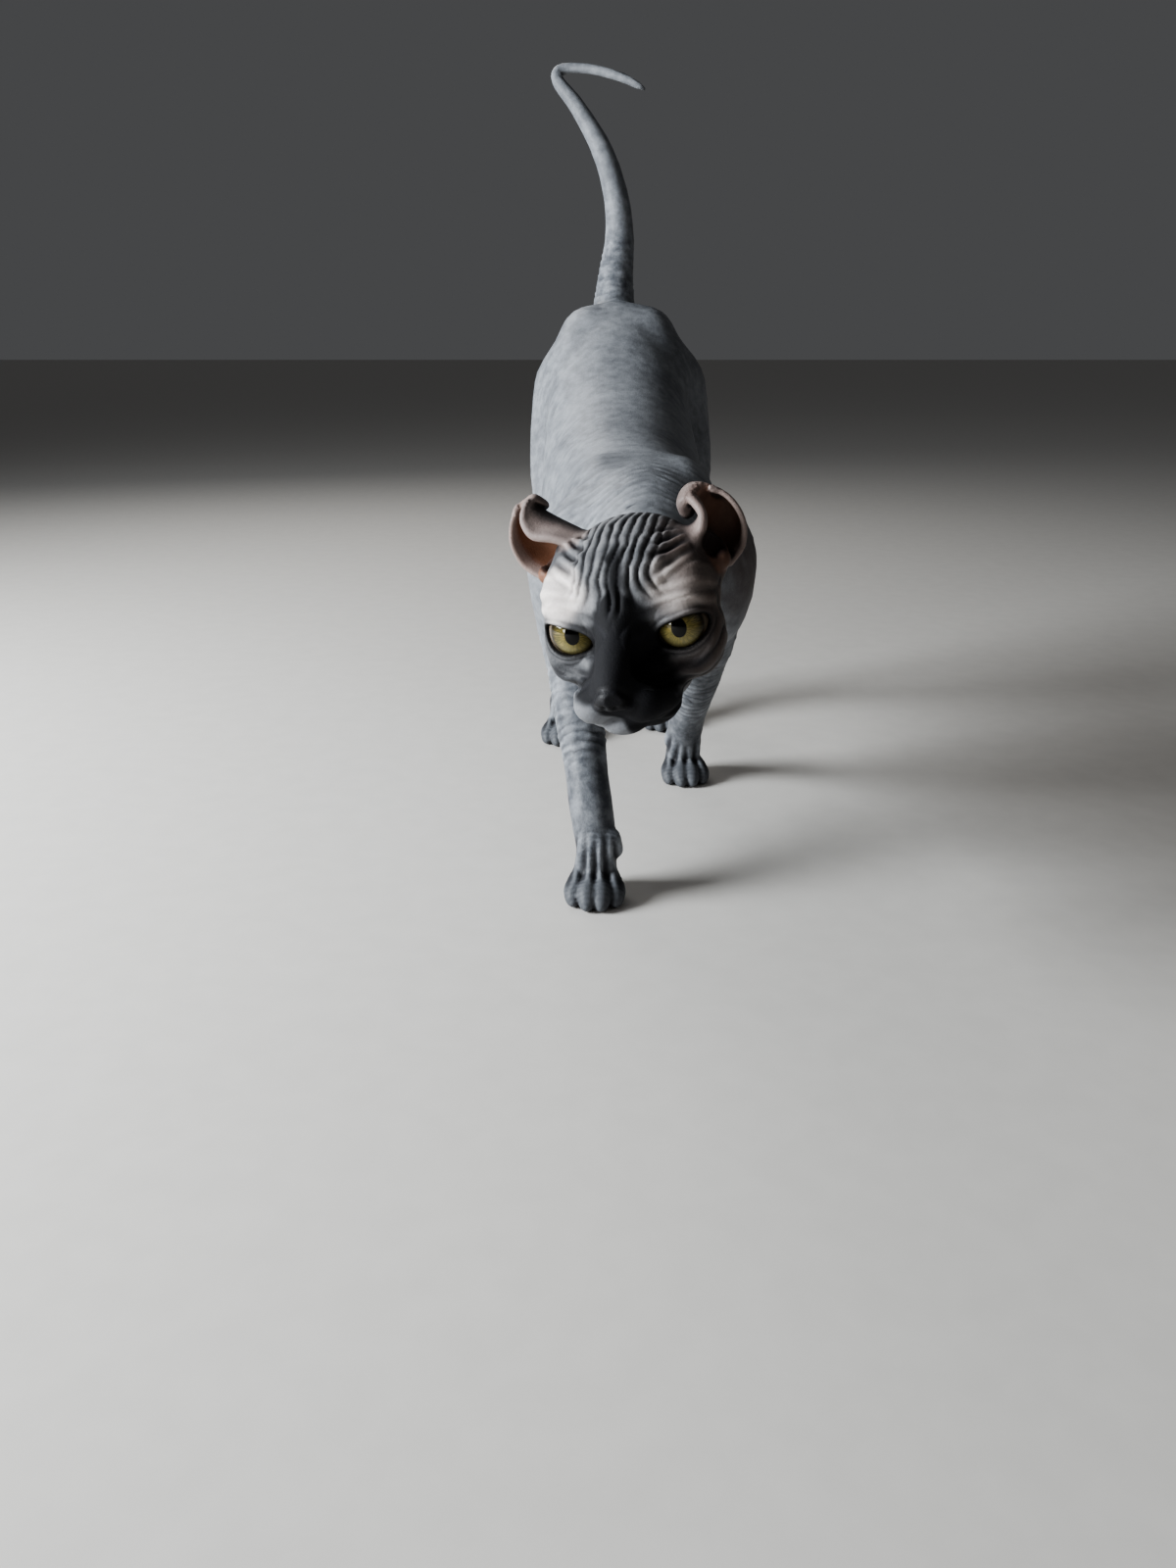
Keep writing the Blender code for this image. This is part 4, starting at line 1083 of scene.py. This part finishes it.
def paintSkin(skin, field):
    points = meshPoints(skin.data)
    local = toHead(points)
    x, y, z = local.T
    height = points[:, 2]
    blotch = softNoise(points, 6.0, 41)
    head = smoothStep(66, 50, y) * smoothStep(-54, -44, z)
    legs = smoothStep(110, 80, height)
    # painted shade in the grooves of the folds, where the skin lies below its smooth form
    paint = {"creaseShade": smoothStep(0.42, -0.40, field.height(points)) * (0.40 + 0.60 * np.maximum(head, legs))}

    def reachOf(key, side=1):
        # 1 on the outline of a painted place
        (across, back, up), radii = paintShape[key]
        return np.linalg.norm((local - np.array((side * across, back, up))) / np.array(radii), axis=1)

    # painted shade in hollows, where the skin close above a place is nearer to another part of the cat
    paint["hollowShade"] = smoothStep(1.9, 1.0, field.height(points + field.slope(points) * 2.2))
    paint["head"] = smoothStep(82, 36, y + 5 * blotch) * smoothStep(-54, -40, z + 3 * blotch)
    level = height + 12 * softNoise(points, 20.0, 44)
    paint["lower"] = smoothStep(150, 80, level) + 0.9 * smoothStep(290, 305, level) * smoothStep(400, 340, level)
    # dark lines in the nostril slits, the philtrum groove and the mouth: painted shade in these grooves, and the
    # dark edge of the lips
    seamShade = np.zeros(len(points))
    close = (y < 6) & (z < -8) & (z > -40)
    seams = [(mirrored(side, path), width) for side in sides.values() for path, width in paintShape["seams"]]
    for path, width in (paintShape["philtrum"], *seams):
        distance, _ = pathDistance(local[close], path)
        seamShade[close] = np.maximum(seamShade[close], smoothStep(width, width * 0.4, distance))
    paint["seamShade"] = seamShade
    # black mask over the bridge of the nose and the muzzle, but for the pale pad under the right nostril
    edge = np.interp(z, *paintShape["mask"]) - np.abs(x - paintShape["maskMiddle"])
    edge = edge + 2.2 * blotch + 1.2 * softNoise(points, 2.6, 43)
    mask = smoothStep(-2.0, 2.5, edge) * smoothStep(16, 4, y) * head
    pad = smoothStep(1.5, -2.0, x - np.interp(z, *paintShape["padEdge"]) + 1.5 * blotch)
    pad = pad * smoothStep(-18, -21.5, z + blotch) * smoothStep(-2, -8, y)
    # bare pale patches over the eyes, out to the ears, and shade under the eyes
    pale = np.zeros(len(points))
    shade = np.zeros(len(points))
    for side in sides.values():
        pale = np.maximum(pale, smoothStep(1.35, 0.30, reachOf("pale", side) + 0.18 * blotch))
        shade = np.maximum(shade, smoothStep(1.2, 0.6, reachOf("shade", side) + 0.15 * blotch))
    paint.update(shade=shade * head, mask=mask * (1 - 0.95 * pad), pale=pale * head, muzzlePad=pad * head)
    ear = np.zeros(len(points))
    inner = np.zeros(len(points))
    margin = np.zeros(len(points))
    for index in np.argwhere((z > 12) & (np.abs(x) > 16) & (y > 6) & (y < 62)).ravel():
        name = "left" if x[index] > 0 else "right"
        spot = Vector(points[index])
        place, normal, face, distance = earSurfaces[name][0].find_nearest(spot, 7.0)
        if place is None:
            continue
        ear[index] = 1 - min(max((distance - 1.6) / 4.0, 0), 1)
        # painted glow of light through the ear on the inner face, over its pink-brown skin, strongest on the right
        # ear
        if (spot - place).dot(normal) * sides[name] > 0:
            inner[index] = paintShape["innerGlow"][name]
        # painted highlight on the rolled margins and the curled tip
        column, row = earShares(name, face)
        margin[index] = max(
            smoothStep(0.24, 0.08, column), smoothStep(0.90, 0.97, column), smoothStep(0.55, 0.75, row))
    # painted shade in the hollow of each ear canal
    canal = np.zeros(len(points))
    for name, side in sides.items():
        canal = np.maximum(canal, smoothStep(1.15, 0.75, reachOf("canal", side)))
        # the lobe under the canal is bare ear too, with painted glow, more on the right ear
        lobe = smoothStep(1.2, 0.8, reachOf("lobe", side) + 0.1 * blotch)
        ear = np.maximum(ear, lobe)
        inner = np.maximum(inner, lobe * paintShape["lobeGlow"][name])
    paint.update(canal=canal, ear=ear, earInner=inner, earMargin=margin)
    paint["toe"] = smoothStep(27, 12, height + 5 * blotch) * (height < 60)
    # painted shade over the cat's left side of the head, neck and shoulder, in a warm brown, fading back along the
    # body
    drift = y + 26 * softNoise(points, 18.0, 45)
    sideShade = smoothStep(9, 27, x + 4 * blotch) * smoothStep(-12, 8, y)
    paint["sideShade"] = sideShade * (0.75 + 0.25 * smoothStep(150, 50, drift)) * smoothStep(230, 110, drift)
    paint["nose"] = smoothStep(1.15, 0.95, reachOf("nose"))
    rim = np.zeros(len(points))
    for side in sides.values():
        turned, radial = aroundEye(points, side)
        onBall = eyeShape["radius"] / radial
        outside = lidOffset(turned[:, 0] * onBall, turned[:, 2] * onBall, side)
        wide = 0.75 + 0.6 * smoothStep(-1, 3, turned[:, 2])
        near = smoothStep(14.4, 13.6, radial) * (turned[:, 1] < 2)
        rim = np.maximum(rim, smoothStep(wide, wide - 0.6, outside) * near)
    paint["rim"] = rim
    for name, values in paint.items():
        setAttribute(skin.data, name, np.clip(values, 0, 1))


# Shader maths: an expression on wrapped sockets adds its nodes

class Wire:
    def __init__(self, tree, socket=None):
        self.tree = tree
        self.socket = socket

    def node(self, kind, settings=None, inputs=None, output=0):
        fresh = self.tree.nodes.new(kind)
        for key, value in (settings or {}).items():
            setattr(fresh, key, value)
        for key, value in (inputs or {}).items():
            if isinstance(value, Wire):
                self.tree.links.new(value.socket, fresh.inputs[key])
            else:
                fresh.inputs[key].default_value = value
        return Wire(self.tree, fresh.outputs[output])

    def math(self, operation, *values):
        return self.node("ShaderNodeMath", {"operation": operation}, dict(enumerate(values)))

    def __add__(self, other):
        return self.math("ADD", self, other)

    def __sub__(self, other):
        return self.math("SUBTRACT", self, other)

    def __rsub__(self, other):
        return self.math("SUBTRACT", other, self)

    def __mul__(self, other):
        return self.math("MULTIPLY", self, other)

    def __truediv__(self, other):
        return self.math("DIVIDE", self, other)

    def __pow__(self, other):
        return self.math("POWER", self, other)

    __radd__ = __add__
    __rmul__ = __mul__

    def between(self, low, high):
        return self.node("ShaderNodeMapRange", {"interpolation_type": "SMOOTHSTEP", "clamp": True},
                         {"Value": self, "From Min": low, "From Max": high})

    def mix(self, first, second):
        # this wire is the share of the second colour
        first, second = (value if isinstance(value, Wire) else (*value, 1) for value in (first, second))
        settings = {"data_type": "RGBA", "clamp_factor": True}
        return self.node("ShaderNodeMix", settings, {0: self, 6: first, 7: second}, 2)

    def attribute(self, name):
        return self.node("ShaderNodeAttribute", {"attribute_name": name}, None, 2)

    def place(self):
        return self.node("ShaderNodeTexCoord", None, None, 3)

    def noise(self, scale, detail, roughness=0.5, place=None):
        inputs = {"Vector": place or self.place(), "Scale": scale, "Detail": detail, "Roughness": roughness}
        return self.node("ShaderNodeTexNoise", None, inputs)

    def feed(self, shader, key):
        self.tree.links.new(self.socket, shader.inputs[key])


def startMaterial(name, settings):
    material = bpy.data.materials.new(name)
    material.use_nodes = True
    shader = material.node_tree.nodes["Principled BSDF"]
    for key, value in settings.items():
        shader.inputs[key].default_value = value
    return material, shader, Wire(material.node_tree)


skinLook = {
    "slate": (0.160, 0.169, 0.185),
    "slateLight": (0.310, 0.325, 0.348),
    "legSlate": (0.085, 0.092, 0.106),
    "legLight": (0.335, 0.353, 0.380),
    "headSlate": (0.098, 0.101, 0.109),
    "headSlateLight": (0.240, 0.243, 0.252),
    "shade": (0.030, 0.031, 0.035),
    # painted shade for grooves and hollows
    "creaseShade": (0.018, 0.018, 0.021),
    "mask": (0.004, 0.004, 0.005),
    "pale": (0.760, 0.700, 0.670),
    # painted glow on the inner ear, over its pink-brown skin
    "earInner": (0.400, 0.190, 0.110),
    # painted highlight on the ear margins
    "earMargin": (0.500, 0.400, 0.365),
    # painted shade on the backs of the ears
    "earBackShade": (0.070, 0.057, 0.054),
    # painted shade in the ear canals
    "canal": (0.022, 0.010, 0.008),
    "muzzlePad": (0.320, 0.332, 0.355),
    # painted shade on the cat's left side
    "sideShade": (0.088, 0.060, 0.049),
    "toe": (0.130, 0.138, 0.151),
    "rim": (0.008, 0.007, 0.007),
    "nose": (0.016, 0.016, 0.018),
    "speckle": (0.02, 0.02, 0.024),
    "roughness": 0.46,
    "grain": 0.00024,
}


def skinMaterial():
    look = skinLook
    material, shader, wire = startMaterial("suede_skin", {
        "Roughness": look["roughness"],
        "Specular IOR Level": 0.15,
    })
    names = (
        "lower", "head", "shade", "pale", "sideShade", "toe", "earInner", "earMargin", "ear", "canal",
        "muzzlePad", "mask", "hollowShade", "creaseShade", "nose", "seamShade", "rim")
    paint = {name: wire.attribute(name) for name in names}
    mottle = wire.noise(140.0, 4.0, 0.65)
    fine = wire.noise(900.0, 3.0, 0.6)
    patchy = (wire.noise(22.0, 3.0, 0.55) * 0.45 + mottle * 0.65 - 0.05).between(0.30, 0.72)
    bodyTone = patchy.mix(look["slate"], look["slateLight"])
    bodyTone = paint["lower"].mix(bodyTone, patchy.mix(look["legSlate"], look["legLight"]))
    colour = paint["head"].mix(bodyTone, patchy.mix(look["headSlate"], look["headSlateLight"]))
    # the ear's colour: painted glow inside, painted shade on the back, painted highlight on the margins
    earTone = paint["earInner"].mix(look["earBackShade"], look["earInner"])
    earTone = (paint["earMargin"] * 0.85).mix(earTone, look["earMargin"])
    layers = (
        (paint["shade"] * 0.8, look["shade"]),
        ((paint["pale"] * (0.75 + mottle * 0.5)).between(0.05, 0.85), look["pale"]),
        # painted shade over the cat's left side
        (paint["sideShade"] * 0.85, look["sideShade"]),
        (paint["toe"] * 0.85, look["toe"]),
        (paint["ear"] * 0.95, earTone),
        # painted shade in the ear canals
        (paint["canal"] * 0.9, look["canal"]),
        (paint["muzzlePad"], look["muzzlePad"]),
        (paint["mask"] * 0.96, look["mask"]),
        # painted shade in hollows and in the grooves of the folds
        (paint["hollowShade"] * 0.75, look["creaseShade"]),
        (paint["creaseShade"] * (0.78 - paint["pale"] * 0.5), look["creaseShade"]),
        (paint["nose"], look["nose"]),
        # the eyelid rims' dark also paints shade into the nostril, philtrum and mouth grooves
        (paint["seamShade"], look["rim"]),
        (paint["rim"] * 0.97, look["rim"]),
        (fine.between(0.35, 0.75) * 0.12, look["speckle"]),
    )
    for share, tone in layers:
        colour = share.mix(colour, tone)
    colour.feed(shader, "Base Color")
    rough = look["roughness"] + (mottle - 0.5) * 0.22 - paint["nose"] * 0.30 + paint["mask"] * 0.30
    rough.feed(shader, "Roughness")
    cells = {"Vector": wire.place(), "Scale": 900.0}
    creases = wire.node("ShaderNodeTexVoronoi", {"feature": "DISTANCE_TO_EDGE"}, cells)
    height = fine * 0.6 + creases.between(0.0, 0.3) * 0.25 + wire.noise(330.0, 3.0, 0.55) * 1.1
    bump = wire.node("ShaderNodeBump", None, {"Strength": 0.6, "Distance": look["grain"], "Height": height})
    bump.feed(shader, "Normal")
    return material


eyeLook = {
    "iris": (0.225, 0.175, 0.058),
    "irisInner": (0.075, 0.070, 0.027),
    # painted light on the lower iris
    "irisLitBelow": (0.450, 0.410, 0.195),
    "irisOuter": (0.020, 0.015, 0.008),
    "lidShadow": (0.012, 0.010, 0.006),
    "white": (0.120, 0.095, 0.070),
    "pupil": (0.001, 0.001, 0.001),
    "irisRadius": 9.9,
    "pupilWidth": 3.2,
    "pupilHeight": 4.1,
    "clearance": 0.12,
    "gaze": {"right": (9.0, -7.0), "left": (7.0, -8.0)},
}


def buildEye(name):
    shape = bmesh.new()
    bmesh.ops.create_uvsphere(shape, u_segments=64, v_segments=48, radius=1.0)
    mesh = bpy.data.meshes.new(f"eye_{name}_globe")
    shape.to_mesh(mesh)
    shape.free()
    # pole towards the gaze
    across, rise = eyeLook["gaze"][name]
    gaze = headTurn @ turnAbout("Z", across) @ turnAbout("X", rise) @ turnAbout("X", 90)
    points = meshPoints(mesh) * (eyeShape["radius"] - eyeLook["clearance"])
    movePoints(mesh, toWorld(points @ gaze.T + eyeCentre(sides[name])))
    setAttribute(mesh, "gazeAcross", points[:, 0])
    setAttribute(mesh, "gazeRise", points[:, 1])
    mesh.shade_smooth()
    return newObject(f"eye_{name}_globe", mesh)


def eyeMaterial():
    look = eyeLook
    material, shader, wire = startMaterial("wet_eye", {
        "Roughness": 0.5,
        "Specular IOR Level": 0.0,
        "Coat Weight": 1.0,
        "Coat Roughness": 0.02,
        "Coat IOR": 1.38,
    })
    across = wire.attribute("gazeAcross")
    rise = wire.attribute("gazeRise")
    distance = (across * across + rise * rise) ** 0.5
    turn = wire.math("ARCTAN2", rise, across)
    spokes = wire.node("ShaderNodeCombineXYZ", None, {"X": turn * 6.0, "Y": distance * 0.16, "Z": 0.0})
    fibres = wire.noise(2.4, 4.0, 0.6, spokes)
    iris = fibres.between(0.40, 0.62).mix(look["irisInner"], look["iris"])
    # painted light: the iris lighter towards its lower part
    iris = ((rise * -1.0).between(-1.0, 9.0) * 0.5).mix(iris, look["irisLitBelow"])
    iris = (distance / look["irisRadius"]).between(0.60, 1.0).mix(iris, look["irisOuter"])
    iris = (rise.between(0.0, 7.0) * 0.8).mix(iris, look["lidShadow"])
    colour = distance.between(look["irisRadius"] - 0.4, look["irisRadius"] + 0.6).mix(iris, look["white"])
    pupilReach = ((across / look["pupilWidth"]) ** 2.0 + (rise / look["pupilHeight"]) ** 2.0) ** 0.5
    pupilReach.between(0.94, 1.06).mix(look["pupil"], colour).feed(shader, "Base Color")
    return material


clawLook = {
    "length": 5.2,
    "radius": 0.95,
    "colour": (0.20, 0.17, 0.15),
    "tip": (0.45, 0.40, 0.34),
}


def buildClaws(material):
    legs = (*foreLegs.values(), *hindLegs.values())
    spots = [pawPlace(leg, spread * 1.03, 2.4 + setback, 6.6) for leg in legs for spread, setback in toeSpots]
    mesh = bpy.data.meshes.new("claws")
    mesh.from_pydata([tuple(toWorld(spot)) for spot in spots], [], [])
    setAttribute(mesh, "clawTurn", [math.radians(leg["turn"]) for leg in legs for _ in toeSpots])
    claws = newObject("claws", mesh)
    tree = bpy.data.node_groups.new("clawsOnToes", "GeometryNodeTree")
    tree.interface.new_socket("Geometry", in_out="INPUT", socket_type="NodeSocketGeometry")
    lengthSocket = tree.interface.new_socket("Length", in_out="INPUT", socket_type="NodeSocketFloat")
    radiusSocket = tree.interface.new_socket("Radius", in_out="INPUT", socket_type="NodeSocketFloat")
    tree.interface.new_socket("Geometry", in_out="OUTPUT", socket_type="NodeSocketGeometry")
    source = tree.nodes.new("NodeGroupInput").outputs

    def add(kind, inputs=None, **settings):
        # adds a node and returns its first output
        fresh = tree.nodes.new(kind)
        for key, value in settings.items():
            setattr(fresh, key, value)
        for key, value in (inputs or {}).items():
            if isinstance(value, bpy.types.NodeSocket):
                tree.links.new(value, fresh.inputs[key])
            else:
                fresh.inputs[key].default_value = value
        return fresh.outputs[0] if fresh.outputs else None

    # hooked centre line, thinning to the tip
    line = add("GeometryNodeCurveQuadraticBezier", {
        "Resolution": 10, "Start": (0, 0.45, 0.1), "Middle": (0, -0.35, 0.25), "End": (0, -0.62, -0.52)})
    line = add("GeometryNodeTransform", {"Geometry": line, "Scale": source["Length"]})
    width = add("ShaderNodeMath", {0: 1.0, 1: add("GeometryNodeSplineParameter")}, operation="SUBTRACT")
    for operation, value in (("POWER", 0.7), ("MULTIPLY", 0.94), ("ADD", 0.06)):
        width = add("ShaderNodeMath", {0: width, 1: value}, operation=operation)
    line = add("GeometryNodeSetCurveRadius", {"Curve": line, "Radius": width})
    ring = add("GeometryNodeCurvePrimitiveCircle", {"Resolution": 10, "Radius": source["Radius"]})
    solid = add("GeometryNodeCurveToMesh", {"Curve": line, "Profile Curve": ring, "Fill Caps": True})
    if "Scale" in solid.node.inputs:
        tree.links.new(add("GeometryNodeInputRadius"), solid.node.inputs["Scale"])
    turn = add("GeometryNodeInputNamedAttribute", {"Name": "clawTurn"}, data_type="FLOAT")
    spread = add("GeometryNodeInstanceOnPoints", {
        "Points": source["Geometry"], "Instance": solid, "Rotation": add("ShaderNodeCombineXYZ", {"Z": turn})})
    whole = add("GeometryNodeRealizeInstances", {"Geometry": spread})
    whole = add("GeometryNodeSetShadeSmooth", {"Geometry": whole})
    whole = add("GeometryNodeSetMaterial", {"Geometry": whole, "Material": material})
    add("NodeGroupOutput", {0: whole})
    modifier = claws.modifiers.new("Claws", "NODES")
    modifier.node_group = tree
    modifier[lengthSocket.identifier] = clawLook["length"] / 1000
    modifier[radiusSocket.identifier] = clawLook["radius"] / 1000
    applyModifiers(claws)
    shape = bmesh.new()
    shape.from_mesh(claws.data)
    bmesh.ops.remove_doubles(shape, verts=shape.verts, dist=1e-6)
    bmesh.ops.recalc_face_normals(shape, faces=shape.faces)
    shape.to_mesh(claws.data)
    shape.free()
    return claws


def clawMaterial():
    material, shader, wire = startMaterial("horn_claw", {"Roughness": 0.35, "Coat Weight": 0.2})
    grain = wire.noise(700.0, 3.0).between(0.3, 0.7)
    grain.mix(clawLook["colour"], clawLook["tip"]).feed(shader, "Base Color")
    return material


skinField = fillField()
skin = buildSkin(skinField)
paintSkin(skin, skinField)
report("skin painted")
boxMargin = 0.00002
points = toWorld(meshPoints(skin.data))
movePoints(skin.data, np.clip(points, np.array(cadBox[0]) + boxMargin, np.array(cadBox[1]) - boxMargin))
skin.data.materials.clear()
skin.data.materials.append(skinMaterial())
skin.data.shade_smooth()
skin.data.update()
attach(skin, "root")
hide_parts(*[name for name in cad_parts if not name.startswith("eye_")])

eyeFinish = eyeMaterial()
for eyeName in sides:
    eye = buildEye(eyeName)
    eye.data.materials.append(eyeFinish)
    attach(eye, "root")
    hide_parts(f"eye_{eyeName}")

claws = buildClaws(clawMaterial())
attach(claws, "root")
report("eyes and claws placed")


# Floor, light and camera

studio = {
    "floor": (0.62, 0.60, 0.57),
    "backdrop": (0.72, 0.73, 0.75),
    "keyPower": 48.0,
    "fillPower": 0.7,
    "catchPower": 1.8,
    "rimPower": 5.0,
    "ambient": 0.11,
    "camera": (-0.025, -0.71, 0.275),
    "cameraDown": 20.9,
    "lens": 26.55,
}

bpy.ops.mesh.primitive_plane_add(size=40.0, location=(0, 0, 0))
floor = bpy.context.active_object
floor.name = "studio_floor"
floorFinish, floorShader, floorWire = startMaterial("studio_paper", {"Roughness": 0.85})
darker, lighter = (tuple(share * value for value in studio["floor"]) for share in (0.97, 1.02))
floorWire.noise(60.0, 4.0).between(0.2, 0.8).mix(darker, lighter).feed(floorShader, "Base Color")
floor.data.materials.append(floorFinish)

world = bpy.data.worlds.new("studio_air")
bpy.context.scene.world = world
world.use_nodes = True
air = world.node_tree.nodes["Background"].inputs
air[0].default_value = (*studio["backdrop"], 1)
air[1].default_value = studio["ambient"]


def addLamp(name, place, target, size, power, colour):
    lamp = bpy.data.lights.new(name, "AREA")
    lamp.shape = "SQUARE"
    lamp.size = size
    lamp.energy = power
    lamp.color = colour
    holder = newObject(name, lamp)
    holder.location = place
    holder.rotation_euler = (Vector(target) - Vector(place)).to_track_quat("-Z", "Y").to_euler()


addLamp("window_side", (-1.30, -0.34, 0.62), (0, -0.1, 0.16), 0.6, studio["keyPower"], (0.93, 0.97, 1.0))
addLamp("eye_catch", (-0.755, -0.75, 0.20), (-0.02, -0.23, 0.16), 0.16, studio["catchPower"], (1.0, 1.0, 1.0))
addLamp("soft_fill", (0.95, -1.0, 0.7), (0, -0.15, 0.15), 1.0, studio["fillPower"], (1.0, 0.93, 0.86))
addLamp("back_edge", (-0.5, 1.2, 1.1), (0, 0, 0.2), 0.6, studio["rimPower"], (1.0, 0.98, 0.95))

camera = newObject("camera", bpy.data.cameras.new("camera"))
camera.data.lens = studio["lens"]
camera.data.sensor_width = 36.0
camera.location = Vector(studio["camera"]) + Vector(modelShift)
camera.rotation_euler = (math.radians(90 - studio["cameraDown"]), 0, 0)
bpy.context.scene.camera = camera

bpy.context.scene.view_settings.look = "AgX - Medium High Contrast"

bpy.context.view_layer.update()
report("scene ready")
